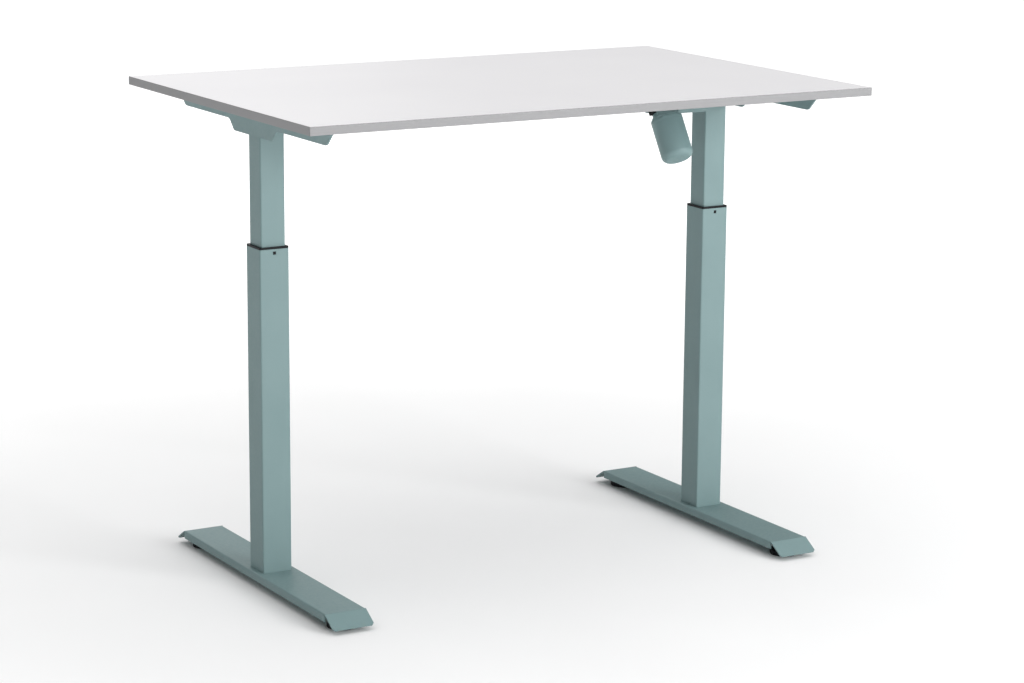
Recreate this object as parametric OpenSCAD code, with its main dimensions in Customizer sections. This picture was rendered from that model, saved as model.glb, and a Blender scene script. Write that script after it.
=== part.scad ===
// Height adjustable standing desk: two telescopic legs, one motor and one cross shaft.
// Origin on the floor under the centre of the worktop. +X to the right, +Y to the back, +Z up.
// The desk is drawn at one working height; the inner tubes and all above them ride up and down.

/* [Worktop] */
// Length of the worktop from left to right
top_w = 1200; // [1100:10:1800]
// Depth of the worktop from front to back
top_d = 800; // [720:10:960]
// Thickness of the worktop board
top_t = 16; // [16:1:30]
// Height of the worktop's upper face above the floor as drawn
desk_h = 940; // [770:5:1180]
// Thickness of the plastic edge band
band_t = 1.5; // [0.8:0.1:3]

/* [Legs] */
// Distance between the centres of the two columns
leg_spacing = 988; // [900:4:1600]
// Outside width of the square outer tube
outer_w = 60; // [50:1:80]
// Height of the outer tube
outer_h = 626; // [520:1:745]
// Wall of both tubes
tube_wall = 2; // [1.5:0.1:2.5]
// Outside corner radius of the tubes
tube_r = 3; // [2.6:0.1:5]
// Gap between the tubes, filled by the plastic guides
guide_gap = 3; // [2.5:0.1:4]
// Length of the inner tube
inner_l = 669; // [640:1:680]
// Height of the collar's rim on top of the outer tube
collar_rim = 4; // [3:0.5:10]
// Depth of the collar's skirt inside the outer tube
collar_skirt = 45; // [25:1:60]
// Width of the square snap lug that holds the collar
lug_w = 6; // [4:0.5:10]
// Distance of the lug's centre below the outer tube's top
lug_drop = 7.5; // [7:0.5:20]
// Length of the guide sleeve at the foot of the inner tube
guide_l = 40; // [25:1:60]

/* [Feet] */
// Length of a foot from front to back
foot_l = 700; // [560:10:800]
// Width of a foot
foot_w = 84; // [76:1:110]
// Height of a foot's upper face above the floor
foot_h = 32; // [30:1:45]
// Sheet thickness of a foot
foot_sheet = 2.5; // [2:0.1:3]
// Depth of a foot's side flange
foot_flange = 15; // [12:1:17]
// Length in plan of the sloping flap at each end
flap_run = 34.5; // [25:0.5:38]
// Drop of the sloping flap
flap_drop = 21; // [12:0.5:22]
// Radius of the flap's lower corners
flap_r = 6; // [2:0.5:10]
// Diameter of a levelling glide
glide_d = 56; // [30:1:64]
// Thickness of a levelling glide's pad
glide_t = 12; // [8:0.5:13]
// Distance of a glide's centre from the end of the foot
glide_inset = 50; // [40:1:120]
// Diameter of the glide's threaded stud
stud_d = 8; // [6:1:10]

/* [Side brackets] */
// Length of a side bracket along the worktop's underside
bracket_l = 670; // [560:10:700]
// Height of the bracket's upright web
bracket_h = 34; // [28:1:50]
// Drop of the web's centre part below the rest of the web
bracket_drop = 21; // [10:1:24]
// Length of the dropped centre part at its lower edge
drop_l = 164; // [120:2:220]
// Sheet thickness of the bracket
bracket_t = 3; // [2:0.5:4]
// Width of the bracket's top flange
bracket_w = 78; // [74:1:100]
// Radius of the web's lower end corners
bracket_r = 14; // [4:1:20]
// Distance of the cross rails' centres from the columns' plane
rail_y = 130; // [110:1:160]
// Width of a cross rail
rail_w = 36; // [28:1:50]
// Height of a cross rail
rail_h = 30; // [20:1:40]
// Sheet thickness of a cross rail
rail_t = 2; // [1.5:0.1:3]

/* [Column heads] */
// Thickness of the head plate on an inner tube
head_t = 5; // [4:0.5:8]
// Length of the head plate from front to back
head_l = 110; // [100:1:130]
// Depth of the gear case below the head plate
case_h = 62; // [60:1:70]
// Drop of the cross shaft's axis below the head plate
shaft_drop = 28; // [26:0.5:30]
// Pitch radius of the bevel gears
gear_r = 13; // [11:0.5:13]
// Face width of the bevel gears
gear_face = 6; // [4:0.5:6]
// Number of teeth on each bevel gear
gear_teeth = 16; // [12:1:20]
// Diameter of the lifting spindle
spindle_d = 14; // [12:1:16]
// Diameter of the spindle's journal in its bearing
journal_d = 10; // [8:1:10]
// Outside diameter of the spindle bearing
bearing_d = 26; // [22:1:28]
// Width of the spindle bearing
bearing_t = 8; // [6:0.5:8]
// Outside diameter of the tube that carries the spindle nut
nut_tube_d = 25; // [22:1:28]
// Wall of the tube that carries the spindle nut
nut_tube_wall = 3; // [2:0.5:3]
// Height of the spindle nut
nut_h = 30; // [20:1:40]
// Drop of the nut's top below the outer tube's top
nut_drop = 63; // [50:1:90]
// Thickness of the base block in the outer tube
base_t = 8; // [6:0.5:12]

/* [Cross shaft and motor] */
// Width across flats of the hexagonal cross shaft
shaft_af = 10; // [8:0.5:12]
// Distance of the gearbox's centre from the right column's centre
motor_inset = 128; // [110:1:160]
// Tilt of the motor from the vertical, its lower end to the front
motor_tilt = 32; // [20:1:35]
// Diameter of the motor can
motor_d = 64; // [50:1:66]
// Length of the motor can
motor_l = 86; // [70:1:110]
// Distance from the motor axis's upper end to the motor can
motor_neck = 76; // [72:1:90]
// Radius of the motor can's lower rim
motor_r = 12; // [3:0.5:16]
// Radius of the round gearbox casing
casing_r = 30; // [26:1:30]
// Width of the gearbox casing along the shaft
casing_w = 44; // [36:1:50]
// Radius of the gearbox's boss that the motor carrier is screwed to
boss_r = 28; // [27:1:30]
// Depth of the motor carrier from front to back
carrier_d = 56; // [50:1:70]
// Height of the motor carrier
carrier_h = 50; // [46:1:52]
// Sheet thickness of the motor carrier
carrier_t = 3; // [2:0.5:4]

/* [Controls] */
// Width of the control box
box_w = 240; // [180:5:300]
// Depth of the control box
box_d = 106; // [80:2:120]
// Height of the control box
box_h = 38; // [36:1:50]
// Wall of the control box
box_wall = 2.5; // [2:0.1:4]
// Width of the handset
handset_w = 110; // [80:2:140]
// Depth of the handset from front to back
handset_d = 32; // [26:1:40]
// Height of the handset
handset_h = 14; // [13:0.5:18]
// Distance of the handset's front from the worktop's front edge
handset_inset = 95; // [60:1:120]
// Gap between the handset's ear and the right side bracket
handset_gap = 17; // [4:1:60]
// Width of a handset button
button_w = 16; // [10:1:20]
// Height of a handset button
button_h = 7; // [5:0.5:8]
// Travel of a handset button
button_travel = 1.5; // [1:0.1:2]

/* [Clearances] */
// Gap between faces that slide on each other
slide_gap = 0.3; // [0.2:0.05:0.5]
// Radial gap of a running shaft, and of a screw in its thread
run_gap = 0.05; // [0.02:0.01:0.1]
// Gap around a piece pushed into a tube
fit_gap = 0.1; // [0.05:0.05:0.3]

/* [Hidden] */
$fn = 64;

// Colours
powder_coat = [0.53, 0.63, 0.64];
white_board = [0.93, 0.93, 0.94];
grey_band = [0.65, 0.65, 0.66];
black_plastic = [0.08, 0.08, 0.09];
zinc = [0.72, 0.73, 0.74];
steel = [0.58, 0.59, 0.61];
nylon = [0.85, 0.84, 0.80];
brass = [0.75, 0.62, 0.35];

// Heights of the levels that pieces share
underside_z = desk_h - top_t;
head_top_z = underside_z - bracket_t;
inner_top_z = head_top_z - head_t;
inner_bottom_z = inner_top_z - inner_l;
shaft_z = inner_top_z - shaft_drop;
case_bottom_z = inner_top_z - case_h;
outer_top_z = foot_h + outer_h;
nut_top_z = outer_top_z - nut_drop;

// Widths that follow from the tubes
leg_x = leg_spacing / 2;
outer_bore = outer_w - 2 * tube_wall;
inner_w = outer_bore - 2 * guide_gap;
inner_bore = inner_w - 2 * tube_wall;
bore_extra_r = 0.5;
bore_r = tube_r - tube_wall + bore_extra_r;
case_w = inner_bore - 2 * fit_gap;

// Screw sizes: radius of shank, head radius and head height
m6_r = 3;
m6_head_r = 5;
m6_head_h = 4;
m4_r = 2;
m4_head_r = 3.5;
m4_head_h = 2.5;
wood_screw_r = 2.5;
wood_head_r = 5;
wood_head_h = 3;
wood_screw_bite = 12;
hole_play = 0.3;

// Feet
flap_angle = atan(flap_drop / flap_run);
flap_l = norm([flap_run, flap_drop]);
flat_l = foot_l - 2 * flap_run;
foot_screw_xy = 18;
glide_y = foot_l / 2 - glide_inset;
glide_edge_r = 3;
stud_in_pad = 8;
stud_hex_h = 4;
stud_hex_extra = 5;
stud_hex_af = stud_d + stud_hex_extra;
stud_top_gap = 0.2;
nut_bottom_gap = 1.5;
glide_nut_z = glide_t + stud_hex_h + nut_bottom_gap;

// Column heads
gear_gap = 0.4;
gear_small_r = gear_r - gear_face;
gear_hub_r = 7;
shaft_hub_r = 8;
gear_room = 4;
case_floor = 4;
case_cavity = 2 * (gear_r + gear_room);
bearing_top_z = case_bottom_z + case_floor + bearing_t;
end_float = 0.2;
shaft_end_gap = 1;
shaft_end_in = gear_small_r + shaft_end_gap;
shaft_hub_proud = 2;
shaft_hub_end = inner_w / 2 + shaft_hub_proud;
tube_hole_gap = 3;
tube_hole_r = shaft_hub_r + tube_hole_gap;
head_screw_x = 15;
head_screw_inset = 13;
head_screw_y = head_l / 2 - head_screw_inset;

// Side brackets and rails
web_bottom_z = underside_z - bracket_h;
bracket_x0 = inner_w / 2 + bracket_t - bracket_w;
bracket_end_cut = bracket_h;
flange_chamfer = 14;
corner_before = 0.4 * bracket_r;
corner_after = 0.6 * bracket_r;
rail_bolt_in = 14;
rail_bolt_out = 17;
rail_bolt_x = [bracket_x0 + rail_bolt_in, inner_w / 2 - rail_bolt_out];
worktop_screw_in = 20;
worktop_screw_x = bracket_x0 + worktop_screw_in;
worktop_screw_insets = [134, 33.5];
worktop_screw_y = [for (end = [-1, 1], inset = worktop_screw_insets) end * (bracket_l / 2 - inset)];

// Gearbox and motor, in a frame whose -Z is the motor's axis
motor_x = leg_x - motor_inset;
motor_rise = 24;
motor_top_z = shaft_z + motor_rise;
neck_r = 25;
neck_top = 10;
neck_rim_t = 2;
collar_h = 10;
sleeve_r = 9;
sleeve_over = 4;
motor_side_gap = 2;
carrier_x0 = motor_x + max(casing_w, motor_d) / 2 + motor_side_gap;
carrier_x1 = leg_x - inner_w / 2;
carrier_reach = 31;
carrier_z0 = shaft_z - carrier_reach;
carrier_hole_r = 12;
socket_proud = 6;
socket_w = 18;
socket_h = 16;
socket_wall = 3;
socket_gap = 3;
plug_depth = 4;
boss_screw_y = 18;
boss_screw_z = 13;
boss_screw_l = 12;
screw_tip_gap = 1;
boss_hole_l = boss_screw_l - carrier_t + screw_tip_gap;
carrier_screw_l = 14;
carrier_screw_edge = 7;
carrier_screw_z = carrier_h / 2 - carrier_screw_edge;
carrier_screw_drop = 3;
carrier_screw_wall = 3;
carrier_screw_y = case_cavity / 2 + carrier_screw_wall;

// Controls
box_gap = 17;
box_y0 = rail_y + rail_w / 2 + box_gap;
box_plate_t = 2;
box_ear = 14;
box_screw_inset = 20;
box_r = 6;
inlet_w = 30;
inlet_h = 22;
inlet_d = 16;
inlet_rim = 3;
inlet_depth = 12;
pin_pitch = 7;
pin_w = 2;
pin_h = 4;
pin_drop = 1;
earth_rise = 3;
handset_ear = 12;
handset_x = leg_x + bracket_x0 - handset_gap - handset_ear - handset_w / 2;
handset_y0 = -top_d / 2 + handset_inset;
handset_wall = 2.5;
handset_r = 4;
handset_ear_d = 16;
handset_ear_t = 3;
button_gap = 14;
button_proud = button_travel + slide_gap;

// ---- Shapes used by several pieces ----

module rounded_rect(w, d, r) {
    square([w - 2 * r, d], center = true);
    square([w, d - 2 * r], center = true);
    for (x = [-1, 1], y = [-1, 1])
        translate([x * (w / 2 - r), y * (d / 2 - r)])
            circle(r);
}

module rounded_bar(w, d, h, r) {
    linear_extrude(h)
        rounded_rect(w, d, r);
}

// Square tube standing on z = 0
module square_tube(w, wall, h, r, r_bore) {
    linear_extrude(h)
        difference() {
            rounded_rect(w, w, r);
            rounded_rect(w - 2 * wall, w - 2 * wall, r_bore);
        }
}

// Puts a piece drawn at the column's own axis on the right leg, or mirrored on the left leg
module at_leg(side) {
    if (side > 0)
        translate([leg_x, 0, 0])
            children();
    else
        mirror([1, 0, 0])
            translate([leg_x, 0, 0])
                children();
}

// Cylinder from the origin along +X
module x_cylinder(r, h) {
    rotate([0, 90, 0])
        cylinder(r = r, h = h);
}

// Hexagonal bar along +X, with flats facing up and down
module x_hex(af, h) {
    rotate([0, 90, 0])
        rotate([0, 0, 30])
            cylinder(r = af / 2 / cos(30), h = h, $fn = 6);
}

// Bevel gear with its axis on +Z: small end at z = -gear_small_r, large end at z = -gear_r
module bevel_gear(hub_r, hub_end) {
    slot_w = 2 * PI * gear_r / gear_teeth / 2.4;
    slot_depth = 2.2;
    difference() {
        union() {
            translate([0, 0, -gear_r])
                cylinder(r1 = gear_r - gear_gap, r2 = gear_small_r - gear_gap, h = gear_face);
            translate([0, 0, -hub_end])
                cylinder(r = hub_r, h = hub_end - gear_r);
        }
        for (i = [0 : gear_teeth - 1])
            rotate([0, 0, i * 360 / gear_teeth])
                translate([gear_r - gear_gap, 0, -gear_r])
                    rotate([0, -45, 0])
                        translate([-slot_depth, -slot_w / 2, -2])
                            cube([2 * slot_depth, slot_w, gear_face * 2 + 4]);
    }
}

// ---- Feet ----

module foot_section() {
    difference() {
        union() {
            translate([-foot_w / 2, -foot_flange])
                square([foot_w, foot_flange - foot_sheet]);
            translate([-foot_w / 2 + foot_sheet, -foot_sheet])
                square([foot_w - 2 * foot_sheet, foot_sheet]);
            for (x = [-1, 1])
                translate([x * (foot_w / 2 - foot_sheet), -foot_sheet])
                    circle(foot_sheet);
        }
        translate([-foot_w / 2 + foot_sheet, -foot_flange - 1])
            square([foot_w - 2 * foot_sheet, foot_flange - foot_sheet + 1]);
    }
}

// Sloping end flap, bent down from the foot's top plate
module foot_flap() {
    translate([0, flat_l / 2, foot_h])
        rotate([-flap_angle, 0, 0])
            translate([0, 0, -foot_sheet])
                linear_extrude(foot_sheet) {
                    translate([-foot_w / 2, -0.5])
                        square([foot_w, flap_l - flap_r + 0.5]);
                    translate([-foot_w / 2 + flap_r, 0])
                        square([foot_w - 2 * flap_r, flap_l]);
                    for (x = [-1, 1])
                        translate([x * (foot_w / 2 - flap_r), flap_l - flap_r])
                            circle(flap_r);
                }
}

module foot(side) {
    color(powder_coat)
        at_leg(side)
            difference() {
                union() {
                    translate([0, flat_l / 2, foot_h])
                        rotate([90, 0, 0])
                            linear_extrude(flat_l)
                                foot_section();
                    foot_flap();
                    mirror([0, 1, 0])
                        foot_flap();
                }
                for (x = [-1, 1], y = [-1, 1])
                    translate([x * foot_screw_xy, y * foot_screw_xy, foot_h - 2 * foot_sheet])
                        cylinder(r = m6_r + hole_play, h = 3 * foot_sheet);
            }
}

module base_block(side) {
    color(steel)
        at_leg(side)
            difference() {
                translate([0, 0, foot_h])
                    rounded_bar(outer_bore - 2 * fit_gap, outer_bore - 2 * fit_gap, base_t, bore_r);
                for (x = [-1, 1], y = [-1, 1])
                    translate([x * foot_screw_xy, y * foot_screw_xy, foot_h - 1])
                        cylinder(r = m6_r + run_gap, h = base_t + 2);
            }
}

module foot_screw() {
    translate([0, 0, foot_h - foot_sheet - m6_head_h])
        cylinder(r = m6_head_r, h = m6_head_h);
    translate([0, 0, foot_h - foot_sheet])
        cylinder(r = m6_r, h = foot_sheet + base_t - 1);
}

module foot_screws() {
    color(zinc)
        for (side = [-1, 1])
            at_leg(side)
                for (x = [-1, 1], y = [-1, 1])
                    translate([x * foot_screw_xy, y * foot_screw_xy, 0])
                        foot_screw();
}

// Glides stand at the ends of the feet; end is -1 at the front and 1 at the back
module glide_pad(side, end) {
    color(black_plastic)
        at_leg(side)
            translate([0, end * glide_y, 0])
                difference() {
                    rotate_extrude()
                        intersection() {
                            union() {
                                square([glide_d / 2 - glide_edge_r, glide_t]);
                                translate([0, glide_edge_r])
                                    square([glide_d / 2, glide_t - glide_edge_r]);
                                translate([glide_d / 2 - glide_edge_r, glide_edge_r])
                                    circle(glide_edge_r);
                            }
                            square([glide_d, glide_t]);
                        }
                    translate([0, 0, glide_t - stud_in_pad])
                        cylinder(d = stud_d + 2 * run_gap, h = stud_in_pad + 1);
                }
}

module glide_stud(side, end) {
    top_z = foot_h - foot_sheet - stud_top_gap;
    color(zinc)
        at_leg(side)
            translate([0, end * glide_y, 0]) {
                translate([0, 0, glide_t - stud_in_pad])
                    cylinder(d = stud_d, h = top_z - glide_t + stud_in_pad);
                translate([0, 0, glide_t])
                    cylinder(r = stud_hex_af / 2 / cos(30), h = stud_hex_h, $fn = 6);
            }
}

module glide_nuts() {
    color(zinc)
        for (side = [-1, 1], end = [-1, 1])
            at_leg(side)
                translate([0, end * glide_y, glide_nut_z])
                    difference() {
                        cylinder(r = stud_hex_af / 2 / cos(30), h = foot_h - foot_sheet - glide_nut_z,
                                 $fn = 6);
                        translate([0, 0, -1])
                            cylinder(d = stud_d + 2 * run_gap, h = foot_h);
                    }
}

// ---- Outer tubes, collars and spindle nuts ----

module outer_tube(side) {
    color(powder_coat)
        at_leg(side)
            difference() {
                translate([0, 0, foot_h])
                    square_tube(outer_w, tube_wall, outer_h, tube_r, bore_r);
                translate([0, 0, outer_top_z - lug_drop])
                    cube([lug_w + fit_gap, outer_w + 2, lug_w + fit_gap], center = true);
            }
}

module collar(side) {
    opening = inner_w + 2 * slide_gap;
    skirt_w = outer_bore - fit_gap;
    color(black_plastic)
        at_leg(side) {
            translate([0, 0, outer_top_z])
                linear_extrude(collar_rim)
                    difference() {
                        rounded_rect(outer_w, outer_w, tube_r);
                        rounded_rect(opening, opening, tube_r);
                    }
            difference() {
                union() {
                    translate([0, 0, outer_top_z - collar_skirt])
                        rounded_bar(skirt_w, skirt_w, collar_skirt, bore_r);
                    translate([0, 0, outer_top_z - lug_drop])
                        cube([lug_w, outer_w, lug_w], center = true);
                }
                translate([0, 0, outer_top_z - collar_skirt - 1])
                    rounded_bar(opening, opening, collar_skirt + 2, tube_r);
            }
        }
}

module nut_tube(side) {
    tube_z = foot_h + base_t;
    color(steel)
        at_leg(side)
            translate([0, 0, tube_z])
                difference() {
                    cylinder(d = nut_tube_d, h = nut_top_z - nut_h - tube_z);
                    translate([0, 0, -1])
                        cylinder(d = nut_tube_d - 2 * nut_tube_wall, h = outer_h);
                }
}

module spindle_nut(side) {
    color(brass)
        at_leg(side)
            translate([0, 0, nut_top_z - nut_h])
                difference() {
                    cylinder(d = nut_tube_d, h = nut_h);
                    translate([0, 0, -1])
                        cylinder(d = spindle_d + 2 * run_gap, h = nut_h + 2);
                }
}

// ---- Inner tubes and column heads ----

module inner_tube(side) {
    color(powder_coat)
        at_leg(side)
            difference() {
                translate([0, 0, inner_bottom_z])
                    square_tube(inner_w, tube_wall, inner_l, tube_r, bore_r);
                translate([-inner_w, 0, shaft_z])
                    x_cylinder(tube_hole_r, inner_w);
                if (side > 0)
                    carrier_screw_holes(m4_r + hole_play);
            }
}

module lower_guide(side) {
    lip_t = 3;
    guide_w = outer_bore - 2 * slide_gap;
    lip_bore = nut_tube_d + 13;
    color(nylon)
        at_leg(side)
            difference() {
                translate([0, 0, inner_bottom_z - lip_t])
                    rounded_bar(guide_w, guide_w, guide_l + lip_t, tube_r);
                translate([0, 0, inner_bottom_z])
                    rounded_bar(inner_w + fit_gap, inner_w + fit_gap, guide_l + 1, tube_r);
                translate([0, 0, inner_bottom_z - lip_t - 1])
                    cylinder(d = lip_bore, h = lip_t + 2);
            }
}

module head_plate(side) {
    color(powder_coat)
        at_leg(side)
            difference() {
                translate([0, 0, inner_top_z])
                    rounded_bar(inner_w, head_l, head_t, tube_r);
                for (x = [-1, 1], y = [-1, 1])
                    translate([x * head_screw_x, y * head_screw_y, inner_top_z - 1])
                        cylinder(r = m6_r + run_gap, h = head_t + 2);
            }
}

module gear_case(side) {
    color(nylon)
        at_leg(side)
            difference() {
                translate([0, 0, case_bottom_z])
                    rounded_bar(case_w, case_w, case_h, bore_r);
                translate([0, 0, bearing_top_z])
                    rounded_bar(case_cavity, case_cavity, case_h, 2);
                translate([0, 0, bearing_top_z - bearing_t])
                    cylinder(d = bearing_d + 2 * run_gap, h = bearing_t + 1);
                translate([0, 0, case_bottom_z - 1])
                    cylinder(d = spindle_d + 2, h = case_h / 2);
                translate([-inner_w, 0, shaft_z])
                    x_cylinder(shaft_hub_r + run_gap, inner_w);
                if (side > 0)
                    carrier_screw_holes(m4_r + run_gap);
            }
}

module spindle_bearing(side) {
    color(steel)
        at_leg(side)
            translate([0, 0, bearing_top_z - bearing_t])
                difference() {
                    cylinder(d = bearing_d, h = bearing_t);
                    translate([0, 0, -1])
                        cylinder(d = journal_d + 2 * run_gap, h = bearing_t + 2);
                }
}

module spindle(side) {
    shoulder_z = bearing_top_z - bearing_t - end_float;
    tip_z = inner_bottom_z - 3;
    journal_top_z = shaft_z - gear_small_r;
    color(steel)
        at_leg(side) {
            translate([0, 0, tip_z])
                cylinder(d = spindle_d, h = shoulder_z - tip_z);
            translate([0, 0, shoulder_z])
                cylinder(d = journal_d, h = journal_top_z - shoulder_z);
        }
}

module spindle_gear(side) {
    hub_end = shaft_z - bearing_top_z - end_float;
    color(steel)
        at_leg(side)
            translate([0, 0, shaft_z])
                difference() {
                    bevel_gear(gear_hub_r, hub_end);
                    translate([0, 0, -hub_end - 1])
                        cylinder(d = journal_d + 2 * run_gap, h = hub_end);
                }
}

module shaft_gear(side) {
    color(steel)
        at_leg(side)
            translate([0, 0, shaft_z])
                difference() {
                    rotate([0, 90, 0])
                        bevel_gear(shaft_hub_r, shaft_hub_end);
                    translate([-shaft_hub_end - 1, 0, 0])
                        x_hex(shaft_af + 2 * run_gap, shaft_hub_end);
                }
}

module cross_shaft() {
    half = leg_x - shaft_end_in;
    color(zinc)
        translate([-half, 0, shaft_z])
            x_hex(shaft_af, 2 * half);
}

// ---- Side brackets, cross rails and their fasteners ----

// Upright web, drawn in the Y-Z plane with its top edge at y = 0
module web_outline() {
    half = bracket_l / 2;
    low = bracket_h;
    cut = bracket_end_cut;
    polygon([[-half, 0], [-half + cut - corner_before, -low + corner_before],
             [-half + cut + corner_after, -low],
             [-drop_l / 2 - bracket_drop, -low], [-drop_l / 2, -low - bracket_drop],
             [drop_l / 2, -low - bracket_drop], [drop_l / 2 + bracket_drop, -low],
             [half - cut - corner_after, -low],
             [half - cut + corner_before, -low + corner_before], [half, 0]]);
}

module countersunk(z_top) {
    translate([0, 0, z_top - bracket_t])
        cylinder(r1 = m6_r + fit_gap, r2 = m6_r + bracket_t + fit_gap, h = bracket_t);
    translate([0, 0, z_top - bracket_t - 1])
        cylinder(r = m6_r + fit_gap, h = 2);
}

module side_bracket(side) {
    chamfer_w = flange_chamfer * sqrt(2);
    color(powder_coat)
        at_leg(side)
            difference() {
                union() {
                    translate([inner_w / 2, 0, underside_z])
                        rotate([90, 0, 90])
                            linear_extrude(bracket_t)
                                web_outline();
                    translate([bracket_x0, -bracket_l / 2, underside_z - bracket_t])
                        cube([bracket_w - bracket_t / 2, bracket_l, bracket_t]);
                }
                for (y = worktop_screw_y)
                    translate([worktop_screw_x, y, underside_z - bracket_t - 1])
                        cylinder(r = wood_screw_r + hole_play, h = bracket_t + 2);
                for (x = [-1, 1], y = [-1, 1])
                    translate([x * head_screw_x, y * head_screw_y, 0])
                        countersunk(underside_z);
                for (x = rail_bolt_x, y = [-1, 1])
                    translate([x, y * rail_y, underside_z - bracket_t - 1])
                        cylinder(r = m6_r + run_gap, h = bracket_t + 2);
                for (y = [-1, 1])
                    translate([bracket_x0, y * bracket_l / 2, underside_z - bracket_t / 2])
                        rotate([0, 0, 45])
                            cube([chamfer_w, chamfer_w, 2 * bracket_t], center = true);
            }
}

// Rail of inverted channel section under the worktop; end is -1 at the front and 1 at the back
module cross_rail(end) {
    half = leg_x + inner_w / 2;
    color(powder_coat)
        difference() {
            translate([-half, end * rail_y - rail_w / 2, head_top_z - rail_h])
                cube([2 * half, rail_w, rail_h]);
            translate([-half - 1, end * rail_y - rail_w / 2 + rail_t, head_top_z - rail_h - 1])
                cube([2 * half + 2, rail_w - 2 * rail_t, rail_h - rail_t + 1]);
            for (side = [-1, 1])
                at_leg(side)
                    for (x = rail_bolt_x)
                        translate([x, end * rail_y, head_top_z - rail_t - 1])
                            cylinder(r = m6_r + hole_play, h = rail_t + 2);
        }
}

module rail_bolt() {
    translate([0, 0, head_top_z - rail_t - m6_head_h])
        cylinder(r = m6_head_r, h = m6_head_h);
    translate([0, 0, head_top_z - rail_t])
        cylinder(r = m6_r, h = rail_t + bracket_t - end_float);
}

module head_screw() {
    translate([0, 0, underside_z - bracket_t])
        cylinder(r1 = m6_r, r2 = m6_r + bracket_t, h = bracket_t);
    translate([0, 0, inner_top_z])
        cylinder(r = m6_r, h = head_t);
}

// Four holes or screws through the carrier's end plate into the right gear case
module carrier_screw_holes(r) {
    for (y = [-1, 1], z = [-1, 1])
        translate([-inner_w / 2 - carrier_screw_l, y * carrier_screw_y,
                   shaft_z - carrier_screw_drop + z * carrier_screw_z])
            x_cylinder(r, 2 * carrier_screw_l - carrier_t + screw_tip_gap);
}

// Pan head screw along +X, its head's underside at x = 0
module x_screw(length) {
    translate([-m4_head_h, 0, 0])
        x_cylinder(m4_head_r, m4_head_h);
    x_cylinder(m4_r, length);
}

module carrier_screws() {
    at_leg(1)
        for (y = [-1, 1], z = [-1, 1])
            translate([-inner_w / 2 - carrier_t, y * carrier_screw_y,
                       shaft_z - carrier_screw_drop + z * carrier_screw_z])
                x_screw(carrier_screw_l);
    for (y = [-1, 1], z = [-1, 1])
        translate([carrier_x0 + carrier_t, y * boss_screw_y, shaft_z + z * boss_screw_z])
            mirror([1, 0, 0])
                x_screw(boss_screw_l);
}

module frame_bolts() {
    color(zinc) {
        for (side = [-1, 1])
            at_leg(side) {
                for (x = rail_bolt_x, y = [-1, 1])
                    translate([x, y * rail_y, 0])
                        rail_bolt();
                for (x = [-1, 1], y = [-1, 1])
                    translate([x * head_screw_x, y * head_screw_y, 0])
                        head_screw();
            }
        carrier_screws();
    }
}

// ---- Worktop ----

// Calls its child at every place where a wood screw enters the worktop
module worktop_screw_places() {
    for (side = [-1, 1])
        at_leg(side)
            for (y = worktop_screw_y)
                translate([worktop_screw_x, y, underside_z - bracket_t])
                    children();
    for (x = [-1, 1], end = [-1, 1])
        translate([x * (box_w + box_ear) / 2, box_screw_y(end), underside_z - box_plate_t])
            children();
    for (x = [-1, 1])
        translate([handset_x + x * (handset_w / 2 + handset_ear / 2), handset_y0 + handset_d / 2,
                   underside_z - handset_ear_t])
            children();
}

module wood_screw() {
    translate([0, 0, -wood_head_h])
        cylinder(r = wood_head_r, h = wood_head_h);
    cylinder(r = wood_screw_r, h = wood_screw_bite);
}

module worktop_screws() {
    color(zinc)
        worktop_screw_places()
            wood_screw();
}

module worktop() {
    color(white_board)
        difference() {
            translate([-top_w / 2 + band_t, -top_d / 2 + band_t, underside_z])
                cube([top_w - 2 * band_t, top_d - 2 * band_t, top_t]);
            worktop_screw_places()
                cylinder(r = wood_screw_r + run_gap, h = wood_screw_bite + 1);
        }
}

module long_edge_bands() {
    color(grey_band)
        for (y = [-top_d / 2, top_d / 2 - band_t])
            translate([-top_w / 2, y, underside_z])
                cube([top_w, band_t, top_t]);
}

module short_edge_bands() {
    color(grey_band)
        for (x = [-top_w / 2, top_w / 2 - band_t])
            translate([x, -top_d / 2 + band_t, underside_z])
                cube([band_t, top_d - 2 * band_t, top_t]);
}

// ---- Gearbox, motor and carrier ----

// Puts a piece drawn along the motor's axis in its tilted place, -Z down the axis
module at_motor() {
    translate([motor_x, 0, motor_top_z])
        rotate([-motor_tilt, 0, 0])
            children();
}

module gearbox_housing() {
    color(powder_coat)
        difference() {
            union() {
                translate([motor_x - casing_w / 2, 0, shaft_z])
                    x_cylinder(casing_r, casing_w);
                translate([motor_x, 0, shaft_z])
                    x_cylinder(boss_r, carrier_x0 - motor_x);
                at_motor() {
                    translate([0, 0, -motor_neck])
                        cylinder(r = neck_r, h = motor_neck - neck_top);
                    translate([0, 0, -motor_neck])
                        cylinder(d = motor_d, h = neck_rim_t);
                    translate([0, 0, -motor_neck + neck_rim_t])
                        cylinder(r1 = motor_d / 2, r2 = neck_r, h = collar_h);
                }
            }
            translate([motor_x - casing_w, 0, shaft_z])
                x_cylinder(sleeve_r + run_gap, 2 * casing_w);
            for (y = [-1, 1], z = [-1, 1])
                translate([carrier_x0 - boss_hole_l, y * boss_screw_y, shaft_z + z * boss_screw_z])
                    x_cylinder(m4_r + run_gap, 2 * boss_hole_l);
        }
}

module motor_can() {
    color(powder_coat)
        at_motor()
            translate([0, 0, -motor_neck - motor_l])
                rotate_extrude()
                    intersection() {
                        union() {
                            square([motor_d / 2 - motor_r, motor_l]);
                            translate([0, motor_r])
                                square([motor_d / 2, motor_l - motor_r]);
                            translate([motor_d / 2 - motor_r, motor_r])
                                circle(motor_r);
                        }
                        square([motor_d, motor_l]);
                    }
}

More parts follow.
